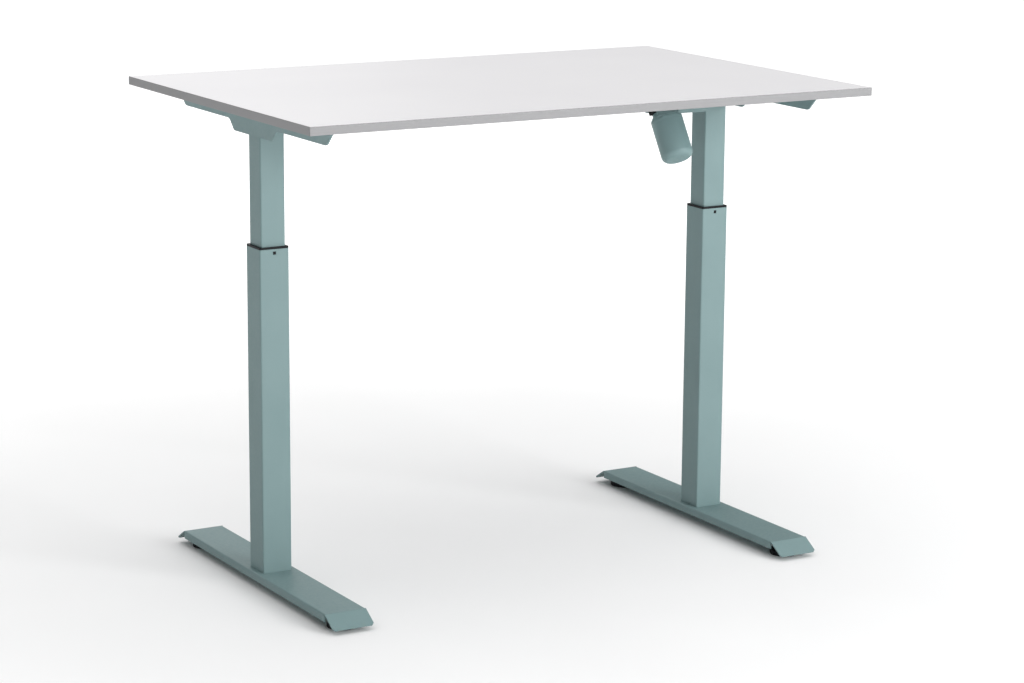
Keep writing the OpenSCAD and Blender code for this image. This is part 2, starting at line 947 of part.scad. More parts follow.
module motor_socket() {
    socket_z = -motor_neck + neck_rim_t + collar_h + socket_gap + socket_h / 2;
    color(black_plastic)
        at_motor()
            difference() {
                translate([-neck_r - socket_proud, -socket_w / 2, socket_z - socket_h / 2])
                    cube([neck_r / 2, socket_w, socket_h]);
                translate([0, 0, -motor_neck])
                    cylinder(r = neck_r + run_gap, h = motor_neck);
                translate([-neck_r - socket_proud, 0, socket_z])
                    cube([2 * plug_depth, socket_w - 2 * socket_wall, socket_h - 2 * socket_wall],
                         center = true);
            }
}

module motor_carrier() {
    length = carrier_x1 - carrier_x0;
    color(powder_coat)
        difference() {
            translate([carrier_x0, -carrier_d / 2, carrier_z0])
                cube([length, carrier_d, carrier_h]);
            translate([carrier_x0 + carrier_t, -carrier_d / 2 + carrier_t, carrier_z0 + carrier_t])
                cube([length - 2 * carrier_t, carrier_d - 2 * carrier_t, carrier_h]);
            translate([carrier_x0 - 1, 0, shaft_z])
                x_cylinder(carrier_hole_r, length + 2);
            at_leg(1)
                carrier_screw_holes(m4_r + hole_play);
            for (y = [-1, 1], z = [-1, 1])
                translate([carrier_x0 - 1, y * boss_screw_y, shaft_z + z * boss_screw_z])
                    x_cylinder(m4_r + hole_play, carrier_t + 2);
        }
}

module gearbox_sleeve() {
    start_x = motor_x - casing_w / 2 - sleeve_over;
    length = carrier_x0 + carrier_t + sleeve_over - start_x;
    color(steel)
        translate([start_x, 0, shaft_z])
            difference() {
                x_cylinder(sleeve_r, length);
                translate([-1, 0, 0])
                    x_hex(shaft_af + 2 * run_gap, length + 2);
            }
}

// ---- Control box and handset ----

function box_screw_y(end) = box_y0 + box_d / 2 + end * (box_d / 2 - box_screw_inset);

module control_box_plate() {
    color(steel)
        difference() {
            translate([0, box_y0 + box_d / 2, underside_z - box_plate_t])
                rounded_bar(box_w + 2 * box_ear, box_d, box_plate_t, box_r);
            for (x = [-1, 1], end = [-1, 1])
                translate([x * (box_w + box_ear) / 2, box_screw_y(end), underside_z - 2 * box_plate_t])
                    cylinder(r = wood_screw_r + hole_play, h = 3 * box_plate_t);
        }
}

module control_box_cover() {
    shell_h = box_h - box_plate_t;
    color(black_plastic)
        difference() {
            translate([0, box_y0 + box_d / 2, underside_z - box_h])
                rounded_bar(box_w, box_d, shell_h, box_r);
            translate([0, box_y0 + box_d / 2, underside_z - box_h + box_wall])
                rounded_bar(box_w - 2 * box_wall, box_d - 2 * box_wall, shell_h, box_r - box_wall);
            translate([-box_w / 4, box_y0 + box_d, underside_z - box_h / 2 - 1])
                cube([inlet_w, 4 * box_wall, inlet_h], center = true);
        }
}

// Mains inlet with three pins, in the cover's back wall
module power_inlet() {
    color(black_plastic)
        translate([-box_w / 4, box_y0 + box_d, underside_z - box_h / 2 - 1]) {
            difference() {
                translate([0, -inlet_d / 2, 0])
                    cube([inlet_w - 2 * fit_gap, inlet_d, inlet_h - 2 * fit_gap], center = true);
                translate([0, -inlet_depth / 2 + 1, 0])
                    cube([inlet_w - 2 * inlet_rim, inlet_depth + 2, inlet_h - 2 * inlet_rim],
                         center = true);
            }
            for (pin = [-1, 0, 1])
                translate([pin * pin_pitch, -inlet_d / 2 - 1, pin == 0 ? earth_rise : -pin_drop])
                    cube([pin_w, inlet_depth, pin_h], center = true);
        }
}

module handset_case() {
    color(black_plastic)
        difference() {
            union() {
                translate([handset_x, handset_y0 + handset_d / 2, underside_z - handset_h])
                    rounded_bar(handset_w, handset_d, handset_h, handset_r);
                translate([handset_x, handset_y0 + handset_d / 2, underside_z - handset_ear_t])
                    rounded_bar(handset_w + 2 * handset_ear, handset_ear_d, handset_ear_t, handset_r);
            }
            translate([handset_x, handset_y0 + handset_d / 2, underside_z - handset_h + handset_wall])
                rounded_bar(handset_w - 2 * handset_wall, handset_d - 2 * handset_wall, handset_h,
                            handset_r - handset_wall);
            for (side = [-1, 1])
                translate([button_x(side), handset_y0, button_z()])
                    cube([button_w + 2 * slide_gap, 3 * handset_wall, button_h + 2 * slide_gap],
                         center = true);
            for (x = [-1, 1])
                translate([handset_x + x * (handset_w / 2 + handset_ear / 2), handset_y0 + handset_d / 2,
                           underside_z - handset_ear_t - 1])
                    cylinder(r = wood_screw_r + hole_play, h = handset_ear_t + 2);
        }
}

function button_x(side) = handset_x + side * (button_w + button_gap) / 2;
function button_z() = underside_z - handset_h / 2;

// Push button with a retaining flange behind the case's front wall
module handset_button(side) {
    stem_l = handset_wall + button_proud + 1;
    flange_t = 1.5;
    color(grey_band)
        translate([button_x(side), handset_y0 - button_proud, button_z()]) {
            translate([-button_w / 2, 0, -button_h / 2])
                cube([button_w, stem_l, button_h]);
            translate([-button_w / 2 - 1, handset_wall + button_proud + slide_gap, -button_h / 2 - 0.8])
                cube([button_w + 2, flange_t, button_h + 1.6]);
        }
}

// ---- One line per node ----

foot(-1);  // left_foot
foot(1);  // right_foot
base_block(-1);  // left_base_block
base_block(1);  // right_base_block
foot_screws();
outer_tube(-1);  // left_outer_tube
outer_tube(1);  // right_outer_tube
collar(-1);  // left_collar
collar(1);  // right_collar
nut_tube(-1);  // left_nut_tube
nut_tube(1);  // right_nut_tube
spindle_nut(-1);  // left_spindle_nut
spindle_nut(1);  // right_spindle_nut
glide_nuts();
glide_pad(-1, -1);  // left_front_glide_pad
glide_stud(-1, -1);  // left_front_glide_stud
glide_pad(-1, 1);  // left_back_glide_pad
glide_stud(-1, 1);  // left_back_glide_stud
glide_pad(1, -1);  // right_front_glide_pad
glide_stud(1, -1);  // right_front_glide_stud
glide_pad(1, 1);  // right_back_glide_pad
glide_stud(1, 1);  // right_back_glide_stud
worktop();
long_edge_bands();
short_edge_bands();
side_bracket(-1);  // left_side_bracket
side_bracket(1);  // right_side_bracket
head_plate(-1);  // left_head_plate
head_plate(1);  // right_head_plate
inner_tube(-1);  // left_inner_tube
inner_tube(1);  // right_inner_tube
lower_guide(-1);  // left_lower_guide
lower_guide(1);  // right_lower_guide
gear_case(-1);  // left_gear_case
gear_case(1);  // right_gear_case
spindle_bearing(-1);  // left_spindle_bearing
spindle_bearing(1);  // right_spindle_bearing
cross_rail(-1);  // front_cross_rail
cross_rail(1);  // back_cross_rail
frame_bolts();
worktop_screws();
gearbox_housing();
motor_can();
motor_socket();
motor_carrier();
control_box_plate();
control_box_cover();
power_inlet();
handset_case();
handset_button(-1);  // up_button
handset_button(1);  // down_button
cross_shaft();
gearbox_sleeve();
shaft_gear(-1);  // left_shaft_gear
shaft_gear(1);  // right_shaft_gear
spindle(-1);  // left_spindle
spindle(1);  // right_spindle
spindle_gear(-1);  // left_spindle_gear
spindle_gear(1);  // right_spindle_gear
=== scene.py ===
import math

import bmesh
import bpy
from mathutils import Matrix, Vector


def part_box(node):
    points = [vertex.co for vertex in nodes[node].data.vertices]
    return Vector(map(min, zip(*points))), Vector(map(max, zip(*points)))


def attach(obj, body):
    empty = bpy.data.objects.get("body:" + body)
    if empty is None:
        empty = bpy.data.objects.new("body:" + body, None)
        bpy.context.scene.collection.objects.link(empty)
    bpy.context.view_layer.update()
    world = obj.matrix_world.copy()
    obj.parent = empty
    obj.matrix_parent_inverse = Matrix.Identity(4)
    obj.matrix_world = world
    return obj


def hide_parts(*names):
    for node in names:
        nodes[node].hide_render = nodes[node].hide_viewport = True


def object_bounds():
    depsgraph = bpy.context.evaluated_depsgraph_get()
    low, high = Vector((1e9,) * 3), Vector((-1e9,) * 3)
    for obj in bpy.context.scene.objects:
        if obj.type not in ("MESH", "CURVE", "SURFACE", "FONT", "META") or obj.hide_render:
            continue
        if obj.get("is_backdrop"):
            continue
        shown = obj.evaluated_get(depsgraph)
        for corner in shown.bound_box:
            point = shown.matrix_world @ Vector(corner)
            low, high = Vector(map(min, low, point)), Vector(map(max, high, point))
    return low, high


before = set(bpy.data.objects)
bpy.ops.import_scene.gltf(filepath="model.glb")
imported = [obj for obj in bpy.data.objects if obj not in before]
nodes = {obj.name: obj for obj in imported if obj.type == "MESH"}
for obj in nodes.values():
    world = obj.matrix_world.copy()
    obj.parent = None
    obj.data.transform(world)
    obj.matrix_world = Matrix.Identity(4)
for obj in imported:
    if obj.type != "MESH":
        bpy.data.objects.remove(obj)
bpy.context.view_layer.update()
scene = bpy.context.scene

# ---------------------------------------------------------------- the studio
# A seamless pale floor, a dome of soft light that is brightest overhead, a large soft box at
# the front right and a weak one behind. The camera stands to the front left, a little above
# the worktop.

scene.view_settings.view_transform = "Standard"

FLOOR_SIZE = 60.0
HORIZON_GLOW = 0.10
ZENITH_GLOW = 1.40
FLOOR_GLOW = 0.42
GLOW_STARTS = 0.7
GLOW_FULL = 3.6


def add_node(tree, kind, **settings):
    """Adds a node to a tree and sets its properties."""
    made = tree.nodes.new(kind)
    for name, value in settings.items():
        setattr(made, name, value)
    return made


def surface(name):
    """Starts a material and returns it with its tree, its shader and its Object coordinates."""
    made = bpy.data.materials.new(name)
    made.use_nodes = True
    tree = made.node_tree
    shader = tree.nodes["Principled BSDF"]
    place = tree.nodes.new("ShaderNodeTexCoord").outputs["Object"]
    return made, tree, shader, place


def noise(tree, place, scale, detail=2.0, stretch=None):
    """A noise pattern of a given scale on the piece; stretch draws it out along an axis."""
    if stretch:
        turn = tree.nodes.new("ShaderNodeMapping")
        turn.inputs["Scale"].default_value = stretch
        tree.links.new(place, turn.inputs["Vector"])
        place = turn.outputs["Vector"]
    made = tree.nodes.new("ShaderNodeTexNoise")
    made.inputs["Scale"].default_value = scale
    made.inputs["Detail"].default_value = detail
    tree.links.new(place, made.inputs["Vector"])
    return made.outputs["Fac"]


def gloss(tree, shader, factor, low, high):
    """Lets a surface's roughness follow a pattern's middle part, between two values."""
    made = tree.nodes.new("ShaderNodeMapRange")
    made.inputs["From Min"].default_value = 0.3
    made.inputs["From Max"].default_value = 0.7
    made.inputs["To Min"].default_value = low
    made.inputs["To Max"].default_value = high
    tree.links.new(factor, made.inputs["Value"])
    tree.links.new(made.outputs["Result"], shader.inputs["Roughness"])


def two_tones(tree, shader, factor, dark, light):
    """Colours a surface with two close tones that follow a pattern."""
    made = tree.nodes.new("ShaderNodeValToRGB")
    made.color_ramp.elements[0].position = 0.32
    made.color_ramp.elements[0].color = (*dark, 1.0)
    made.color_ramp.elements[1].position = 0.68
    made.color_ramp.elements[1].color = (*light, 1.0)
    tree.links.new(factor, made.inputs["Fac"])
    tree.links.new(made.outputs["Color"], shader.inputs["Base Color"])


def bump(tree, shader, factor, depth, strength):
    """Lays a relief of a given depth in metres over what the surface already has."""
    made = tree.nodes.new("ShaderNodeBump")
    made.inputs["Strength"].default_value = strength
    made.inputs["Distance"].default_value = depth
    tree.links.new(factor, made.inputs["Height"])
    for under in [link.from_socket for link in shader.inputs["Normal"].links]:
        tree.links.new(under, made.inputs["Normal"])
    tree.links.new(made.outputs["Normal"], shader.inputs["Normal"])


def fed(tree, node, values):
    """Feeds a node's inputs, each a socket or a plain number, and returns its first output."""
    for socket, value in zip(node.inputs, values):
        if isinstance(value, (int, float)):
            socket.default_value = value
        else:
            tree.links.new(value, socket)
    return node.outputs[0]


def math_node(tree, operation, *values):
    """The result of a Math node on sockets or plain numbers."""
    return fed(tree, add_node(tree, "ShaderNodeMath", operation=operation), values)


def floor_paper():
    """White studio paper, lit from below away from the desk so that it stays white far out."""
    made, tree, shader, place = surface("floor_paper")
    two_tones(tree, shader, noise(tree, place, 1.5), (0.92, 0.92, 0.92), (0.94, 0.94, 0.94))
    shader.inputs["Roughness"].default_value = 0.9
    shader.inputs["Specular IOR Level"].default_value = 0.1
    reach = add_node(tree, "ShaderNodeVectorMath", operation="LENGTH")
    tree.links.new(place, reach.inputs[0])
    rise = add_node(tree, "ShaderNodeMapRange", interpolation_type="SMOOTHSTEP")
    rise.inputs["From Min"].default_value = GLOW_STARTS
    rise.inputs["From Max"].default_value = GLOW_FULL
    rise.inputs["To Max"].default_value = FLOOR_GLOW
    tree.links.new(reach.outputs["Value"], rise.inputs["Value"])
    shader.inputs["Emission Color"].default_value = (1.0, 1.0, 1.0, 1.0)
    tree.links.new(rise.outputs["Result"], shader.inputs["Emission Strength"])
    return made


floor_mesh = bpy.data.meshes.new("floor")
half_floor = FLOOR_SIZE / 2
floor_mesh.from_pydata(
    [(x, y, 0.0) for x, y in ((-half_floor, -half_floor), (half_floor, -half_floor),
                              (half_floor, half_floor), (-half_floor, half_floor))],
    [], [(0, 1, 2, 3)])
floor = bpy.data.objects.new("floor", floor_mesh)
scene.collection.objects.link(floor)
floor_mesh.materials.append(floor_paper())
floor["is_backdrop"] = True

world = bpy.data.worlds.new("surround")
scene.world = world
world.use_nodes = True
sky = world.node_tree
sky_dome = sky.nodes["Background"]
sky_dome.inputs["Color"].default_value = (1.0, 1.0, 1.0, 1.0)
direction = sky.nodes.new("ShaderNodeTexCoord")
height = sky.nodes.new("ShaderNodeSeparateXYZ")
sky.links.new(direction.outputs["Generated"], height.inputs[0])
above = math_node(sky, "MAXIMUM", height.outputs["Z"], 0.0)
glow = math_node(sky, "MULTIPLY_ADD", math_node(sky, "POWER", above, 2.0), ZENITH_GLOW, HORIZON_GLOW)
# Seen directly, the dome is plain white, so that no horizon shows behind the desk.
seen = sky.nodes.new("ShaderNodeLightPath").outputs["Is Camera Ray"]
sky.links.new(math_node(sky, "MAXIMUM", glow, seen), sky_dome.inputs["Strength"])


def soft_light(name, place, target, width, height, power):
    """A rectangular soft box of a given size in metres, turned to a point."""
    data = bpy.data.lights.new(name, "AREA")
    data.shape = "RECTANGLE"
    data.size = width
    data.size_y = height
    data.energy = power
    lamp = bpy.data.objects.new(name, data)
    lamp.location = place
    lamp.rotation_euler = (Vector(target) - Vector(place)).to_track_quat("-Z", "Y").to_euler()
    scene.collection.objects.link(lamp)


soft_light("front_box", (2.6, -6.2, 2.1), (0.0, 0.0, 0.5), 3.6, 2.8, 360.0)
soft_light("back_box", (1.0, 6.5, 3.0), (0.0, 0.0, 0.7), 4.0, 2.5, 60.0)

CAMERA_PLACE = (-2.7841, -4.8565, 1.6373)
CAMERA_YAW = 30.15
CAMERA_PITCH = -12.21
CAMERA_ROLL = 0.42
CAMERA_LENS = 102.07
camera = bpy.data.objects.new("camera", bpy.data.cameras.new("camera"))
camera.data.lens = CAMERA_LENS
camera.data.sensor_width = 36.0
camera.matrix_world = (
    Matrix.Translation(CAMERA_PLACE)
    @ Matrix.Rotation(math.radians(-CAMERA_YAW), 4, "Z")
    @ Matrix.Rotation(math.radians(90.0 + CAMERA_PITCH), 4, "X")
    @ Matrix.Rotation(math.radians(CAMERA_ROLL), 4, "Z"))
scene.collection.objects.link(camera)
scene.camera = camera

# ---------------------------------------------------------------- the feet
# Each foot is one blank of 2.5 mm steel sheet, pressed into a shallow channel with a sloping
# flap at each end, then powder coated in a fine matt grey-teal. The outer tube stands on its
# middle and is screwed to it from below.

MM = 0.001
COAT_DARK = (0.162, 0.248, 0.252)
COAT_LIGHT = (0.174, 0.262, 0.266)
SHEET = 2.5 * MM
FOOT_BEND = 3.2 * MM
FOOT_SIDE = 15.0 * MM
FLAP_RUN = 34.5 * MM
FLAP_DROP = 21.0 * MM
FLAP_CORNER = 6.0 * MM
BEND_RELIEF = 0.8 * MM
ARC_STEPS = 6


def powder_coat():
    """Fine matt powder coat: orange peel in two sizes and a faint drift of tone and gloss."""
    made, tree, shader, place = surface("powder_coat_grey_teal")
    two_tones(tree, shader, noise(tree, place, 9.0, 3.0), COAT_DARK, COAT_LIGHT)
    gloss(tree, shader, noise(tree, place, 160.0), 0.46, 0.56)
    shader.inputs["Specular IOR Level"].default_value = 0.42
    rounded = tree.nodes.new("ShaderNodeBevel")
    rounded.samples = 4
    rounded.inputs["Radius"].default_value = 0.4 * MM
    tree.links.new(rounded.outputs["Normal"], shader.inputs["Normal"])
    bump(tree, shader, noise(tree, place, 420.0, 1.0), 0.05 * MM, 0.5)
    bump(tree, shader, noise(tree, place, 1500.0, 2.0), 0.03 * MM, 0.6)
    return made


def new_mesh(name, points, faces):
    """A mesh from points and faces, with unused points left out."""
    used = sorted({i for face in faces for i in face})
    order = {old: new for new, old in enumerate(used)}
    made = bpy.data.meshes.new(name)
    made.from_pydata([points[i] for i in used], [], [[order[i] for i in face] for face in faces])
    made.validate()
    return made


def sheet_mesh(name, rows):
    """A skin of quads over rows of points; a quad is left out where a point is None."""
    columns = len(rows[0])
    points = [point or Vector() for row in rows for point in row]
    faces = []
    for r in range(len(rows) - 1):
        for c in range(columns - 1):
            corners = (rows[r][c], rows[r][c + 1], rows[r + 1][c + 1], rows[r + 1][c])
            if all(corner is not None for corner in corners):
                at = r * columns + c
                faces.append((at, at + 1, at + 1 + columns, at + columns))
    return new_mesh(name, points, faces)


def shaped(name, raw, thickness=0.0, edge=0.4 * MM, segments=2, least_angle=35.0):
    """Gives a mesh its sheet thickness and softened edges, and returns the finished mesh."""
    holder = bpy.data.objects.new(name + "_raw", raw)
    scene.collection.objects.link(holder)
    raw.polygons.foreach_set("use_smooth", [True] * len(raw.polygons))
    if thickness:
        sheet = holder.modifiers.new("thickness", "SOLIDIFY")
        sheet.thickness = thickness
        sheet.offset = -1.0
        sheet.use_even_offset = True
    if edge:
        soft = holder.modifiers.new("edges", "BEVEL")
        soft.width = edge
        soft.segments = segments
        soft.limit_method = "ANGLE"
        soft.angle_limit = math.radians(least_angle)
    flat = holder.modifiers.new("flat_faces", "WEIGHTED_NORMAL")
    flat.weight = 80
    bpy.context.view_layer.update()
    graph = bpy.context.evaluated_depsgraph_get()
    made = bpy.data.meshes.new_from_object(holder.evaluated_get(graph), depsgraph=graph)
    made.name = name
    bpy.data.objects.remove(holder)
    return made


def piece(name, mesh, material, body, slot, *stands_for):
    """Puts a finished mesh in the scene as a piece on a body, in place of CAD nodes."""
    made = bpy.data.objects.new(name, mesh)
    scene.collection.objects.link(made)
    mesh.materials.clear()
    mesh.materials.append(material)
    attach(made, body)
    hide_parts(*stands_for)
    return made


def arc(radius, start, stop, steps=ARC_STEPS):
    """Points on an arc about the origin, between two angles in degrees."""
    angles = [math.radians(start + (stop - start) * i / steps) for i in range(steps + 1)]
    return [(radius * math.cos(a), radius * math.sin(a)) for a in angles]


def foot_rows(low, high):
    """Rows of points over a foot's upper skin, from its front flap to its back flap."""
    x0 = (low.x + high.x) / 2
    y0 = (low.y + high.y) / 2
    half_w = (high.x - low.x) / 2
    half_l = (high.y - low.y) / 2
    top = high.z
    slope = math.atan2(FLAP_DROP, FLAP_RUN)
    flat_end = half_l - FLAP_RUN - FOOT_BEND * math.tan(slope / 2)
    bends = [(half_w - FOOT_BEND + x, z - FOOT_BEND) for x, z in arc(FOOT_BEND, 90, 0)]
    right = bends + [(half_w, -FOOT_SIDE)]
    section = [(-x, z) for x, z in reversed(right)] + right
    middle = len(right)
    edge_columns = (middle - 2, middle + 1)
    inner_columns = (middle - 1, middle)

    def channel_row(y):
        return [Vector((x0 + x, y0 + y, top + z)) for x, z in section]

    def flap_row(y, z, half, with_edge):
        row = [None] * len(section)
        for column, sign in zip(inner_columns, (-1, 1)):
            row[column] = Vector((x0 + sign * min(half, half_w - FOOT_BEND), y0 + y, top + z))
        if with_edge:
            for column, sign in zip(edge_columns, (-1, 1)):
                row[column] = Vector((x0 + sign * half, y0 + y, top + z))
        return row

    bend_rows = [(flat_end + FOOT_BEND * math.sin(slope * i / 4),
                  FOOT_BEND * (math.cos(slope * i / 4) - 1)) for i in range(5)]
    last_y, last_z = bend_rows[-1]
    straight = (half_l - last_y) / math.cos(slope)
    tip = []
    for step in range(ARC_STEPS + 1):
        turn = math.pi / 2 * step / ARC_STEPS
        along = straight - FLAP_CORNER + FLAP_CORNER * math.sin(turn)
        tip.append((last_y + along * math.cos(slope), last_z - along * math.sin(slope),
                    half_w - FLAP_CORNER + FLAP_CORNER * math.cos(turn)))
    back = [channel_row(flat_end - BEND_RELIEF), flap_row(*bend_rows[0], half_w, True)]
    back += [flap_row(y, z, half_w, True) for y, z in bend_rows[1:]]
    back += [flap_row(y, z, half, True) for y, z, half in tip]
    front = [[p and Vector((p.x, 2 * y0 - p.y, p.z)) for p in row] for row in reversed(back)]
    return front + back


coat = powder_coat()
for side in ("left", "right"):
    low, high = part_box(side + "_foot")
    skin = sheet_mesh("foot", foot_rows(low, high))
    piece(side + "_pressed_foot", shaped("foot", skin, SHEET, 0.35 * MM), coat,
          "base", "powder_coated_steel", side + "_foot")

# ---------------------------------------------------------------- levelling glides
# A hard black pad with a rounded lower rim and small grip notches, moulded round the head of a
# zinc plated stud. The stud screws into a weld nut under the foot, and turning it levels the desk.

THREAD_PITCH = 1.25 * MM


def black_moulding():
    """Black moulded plastic with a fine spark-eroded grain."""
    made, tree, shader, place = surface("black_moulded_plastic")
    two_tones(tree, shader, noise(tree, place, 40.0), (0.003, 0.004, 0.005), (0.007, 0.008, 0.010))
    shader.inputs["Specular IOR Level"].default_value = 0.16
    gloss(tree, shader, noise(tree, place, 300.0), 0.42, 0.58)
    bump(tree, shader, noise(tree, place, 1800.0, 1.0), 0.03 * MM, 0.6)
    return made


def zinc_plate():
    """Bright zinc plate: a cold metal with cloudy patches and fine turning marks."""
    made, tree, shader, place = surface("zinc_plate")
    two_tones(tree, shader, noise(tree, place, 120.0, 4.0), (0.50, 0.51, 0.53), (0.66, 0.66, 0.66))
    shader.inputs["Metallic"].default_value = 1.0
    gloss(tree, shader, noise(tree, place, 700.0), 0.26, 0.42)
    bump(tree, shader, noise(tree, place, 900.0, 2.0, (1.0, 1.0, 6.0)), 0.02 * MM, 0.5)
    return made


def lathe_mesh(name, outline, segments, notches=0, notch_depth=0.0, notched=()):
    """Turns an outline of (radius, height) points about Z; its ends lie on the axis."""
    inner = outline[1:-1]
    points = [Vector((0.0, 0.0, outline[0][1])), Vector((0.0, 0.0, outline[-1][1]))]
    for s in range(segments):
        angle = 2 * math.pi * s / segments
        for i, (radius, height) in enumerate(inner):
            if i in notched and s * notches % segments < notches:
                radius -= notch_depth
            points.append(Vector((radius * math.cos(angle), radius * math.sin(angle), height)))
    count = len(inner)
    faces = []
    for s in range(segments):
        here = 2 + s * count
        there = 2 + (s + 1) % segments * count
        faces.append((0, there, here))
        faces.append((1, here + count - 1, there + count - 1))
        for i in range(count - 1):
            faces.append((here + i, there + i, there + i + 1, here + i + 1))
    return new_mesh(name, points, faces)


def thread_mesh(name, radius, depth, pitch, z0, z1, segments=20):
    """A closed screw thread about Z between two heights, with a plain run at each end."""
    turns = max(1, int((z1 - z0 - 2 * pitch) / pitch))
    start = z0 + (z1 - z0 - turns * pitch) / 2
    root = radius - depth
    # One pitch of the profile, in shares of the pitch: root, flank, crest, flank
    outline = ((0.0, root), (0.25, root), (0.45, radius), (0.65, radius), (0.9, root))
    points = []
    rings = []
    for step in range(turns * segments + 1):
        angle = 2 * math.pi * step / segments
        base = start + pitch * step / segments
        ring = []
        for part, r in outline:
            height = min(max(base + (part - 0.5) * pitch, z0), z1)
            ring.append(len(points))
            points.append(Vector((r * math.cos(angle), r * math.sin(angle), height)))
        rings.append(ring)
    faces = []
    for one, two in zip(rings, rings[1:]):
        for i in range(len(outline) - 1):
            faces.append((one[i], two[i], two[i + 1], one[i + 1]))
    for step in range((turns - 1) * segments):
        low_ring, low_next = rings[step], rings[step + 1]
        high_ring, high_next = rings[step + segments], rings[step + segments + 1]
        faces.append((low_ring[-1], low_next[-1], high_next[0], high_ring[0]))
    for at_low in (True, False):
        some = rings[:segments] if at_low else rings[-segments - 1:-1]
        pick = 0 if at_low else -1
        end_z = z0 if at_low else z1
        rim = []
        for ring in some:
            p = points[ring[pick]]
            rim.append(len(points))
            points.append(Vector((p.x, p.y, end_z)))
        centre = len(points)
        points.append(Vector((0.0, 0.0, end_z)))
        for i in range(segments):
            j = (i + 1) % segments
            outer_i = some[i][pick]
            outer_j = rings[segments][0] if at_low and j == 0 else some[j][pick]
            if not at_low and j == 0:
                outer_j = rings[-1][-1]
            if at_low:
                faces.append((rim[i], rim[j], outer_j, outer_i))
                faces.append((centre, rim[j], rim[i]))
            else:
                faces.append((outer_i, outer_j, rim[j], rim[i]))
                faces.append((centre, rim[i], rim[j]))
    made = new_mesh(name, points, faces)
    work = bmesh.new()
    work.from_mesh(made)
    bmesh.ops.remove_doubles(work, verts=work.verts, dist=0.002 * MM)
    bmesh.ops.holes_fill(work, edges=work.edges, sides=6)
    bmesh.ops.recalc_face_normals(work, faces=work.faces)
    work.to_mesh(made)
    work.free()
    return made


def joined(name, *meshes):
    """One mesh from several; each keeps its own shells."""
    work = bmesh.new()
    for mesh in meshes:
        work.from_mesh(mesh)
    made = bpy.data.meshes.new(name)
    work.to_mesh(made)
    work.free()
    return made


def moved(mesh, x, y, z=0.0):
    """Moves a mesh and returns it."""
    mesh.transform(Matrix.Translation((x, y, z)))
    return mesh


def prism_mesh(name, sides, across_flats, z0, z1):
    """A prism about Z with flats a given distance apart, such as a hexagon head."""
    corner = across_flats / 2 / math.cos(math.pi / sides)
    ring = [(corner * math.cos(2 * math.pi * i / sides), corner * math.sin(2 * math.pi * i / sides))
            for i in range(sides)]
    points = [Vector((x, y, z)) for z in (z0, z1) for x, y in ring]
    faces = [tuple(range(sides - 1, -1, -1)), tuple(range(sides, 2 * sides))]
    faces += [(i, (i + 1) % sides, sides + (i + 1) % sides, sides + i) for i in range(sides)]
    return new_mesh(name, points, faces)


black = black_moulding()
zinc = zinc_plate()
PAD_ROUND = 1.5 * MM
PAD_NOTCHES = 24
NOTCH_DEPTH = 0.8 * MM
PAD_SIDE_DROP = 3.0 * MM
PAD_EDGE_DROP = 2.0 * MM
PAD_EDGE_IN = 1.0 * MM
PAD_BOSS = 9.0 * MM
BOSS_SKIRT = 4.0 * MM
BOSS_DROP = 0.6 * MM
STUD_RADIUS = 4.0 * MM
STUD_THREAD = 0.6 * MM
STUD_HEX = 4.0 * MM
STUD_FLATS = 13.0 * MM
STUD_OVERLAP = 0.2 * MM
for side in ("left", "right"):
    for end in ("front", "back"):
        name = side + "_" + end + "_glide"
        low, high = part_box(name + "_pad")
        radius = (high.x - low.x) / 2
        thick = high.z - low.z
        rim = [(radius - PAD_ROUND + r, PAD_ROUND + z) for r, z in arc(PAD_ROUND, -90, 0)]
        outline = [(0.0, 0.0)] + rim
        outline += [(radius, thick - PAD_SIDE_DROP), (radius - PAD_EDGE_IN, thick - PAD_EDGE_DROP)]
        outline += [(PAD_BOSS + BOSS_SKIRT, thick - BOSS_DROP), (PAD_BOSS, thick), (0.0, thick)]
        side_rows = (len(rim) - 1, len(rim))
        pad = lathe_mesh("pad", outline, PAD_NOTCHES * 6, PAD_NOTCHES, NOTCH_DEPTH, side_rows)
        x, y = (low.x + high.x) / 2, (low.y + high.y) / 2
        piece(name + "_moulded_pad", moved(shaped("pad", pad, edge=0.0), x, y), black,
              name, "black_plastic", name + "_pad")
        low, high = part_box(name + "_stud")
        hex_top = thick + STUD_HEX
        thread = thread_mesh("stud", STUD_RADIUS, STUD_THREAD, THREAD_PITCH, hex_top - STUD_OVERLAP,
                             high.z)
        head = shaped("head", prism_mesh("head", 6, STUD_FLATS, thick, hex_top), edge=0.4 * MM)
        stud = joined("stud", shaped("thread", thread, edge=0.0), head)
        piece(name + "_threaded_stud", moved(stud, x, y), zinc, name, "zinc_plated_steel",
              name + "_stud")

# ---------------------------------------------------------------- outer and inner tubes
# Square welded steel tubes with rounded corners. The outer tube stands on the foot and has a
# square hole in its front and back face for the collar's snap lug. The inner tube slides in it.

OUTER_WALL = 2.0 * MM
TUBE_CORNER = 3.0 * MM
LUG_HOLE = 6.1 * MM
LUG_DROP = 7.5 * MM


def tree_with_inputs(name, inputs):
    """A Geometry Nodes tree that gives out geometry and takes the named inputs."""
    tree = bpy.data.node_groups.new(name, "GeometryNodeTree")
    tree.interface.new_socket("Geometry", in_out="OUTPUT", socket_type="NodeSocketGeometry")
    for label, kind in inputs:
        tree.interface.new_socket(label, in_out="INPUT", socket_type="NodeSocket" + kind)
    source = tree.nodes.new("NodeGroupInput")
    result = tree.nodes.new("NodeGroupOutput")
    return tree, source.outputs, result.inputs["Geometry"]


def vector_node(tree, x, y, z):
    """A vector made of sockets or plain numbers."""
    return fed(tree, tree.nodes.new("ShaderNodeCombineXYZ"), (x, y, z))


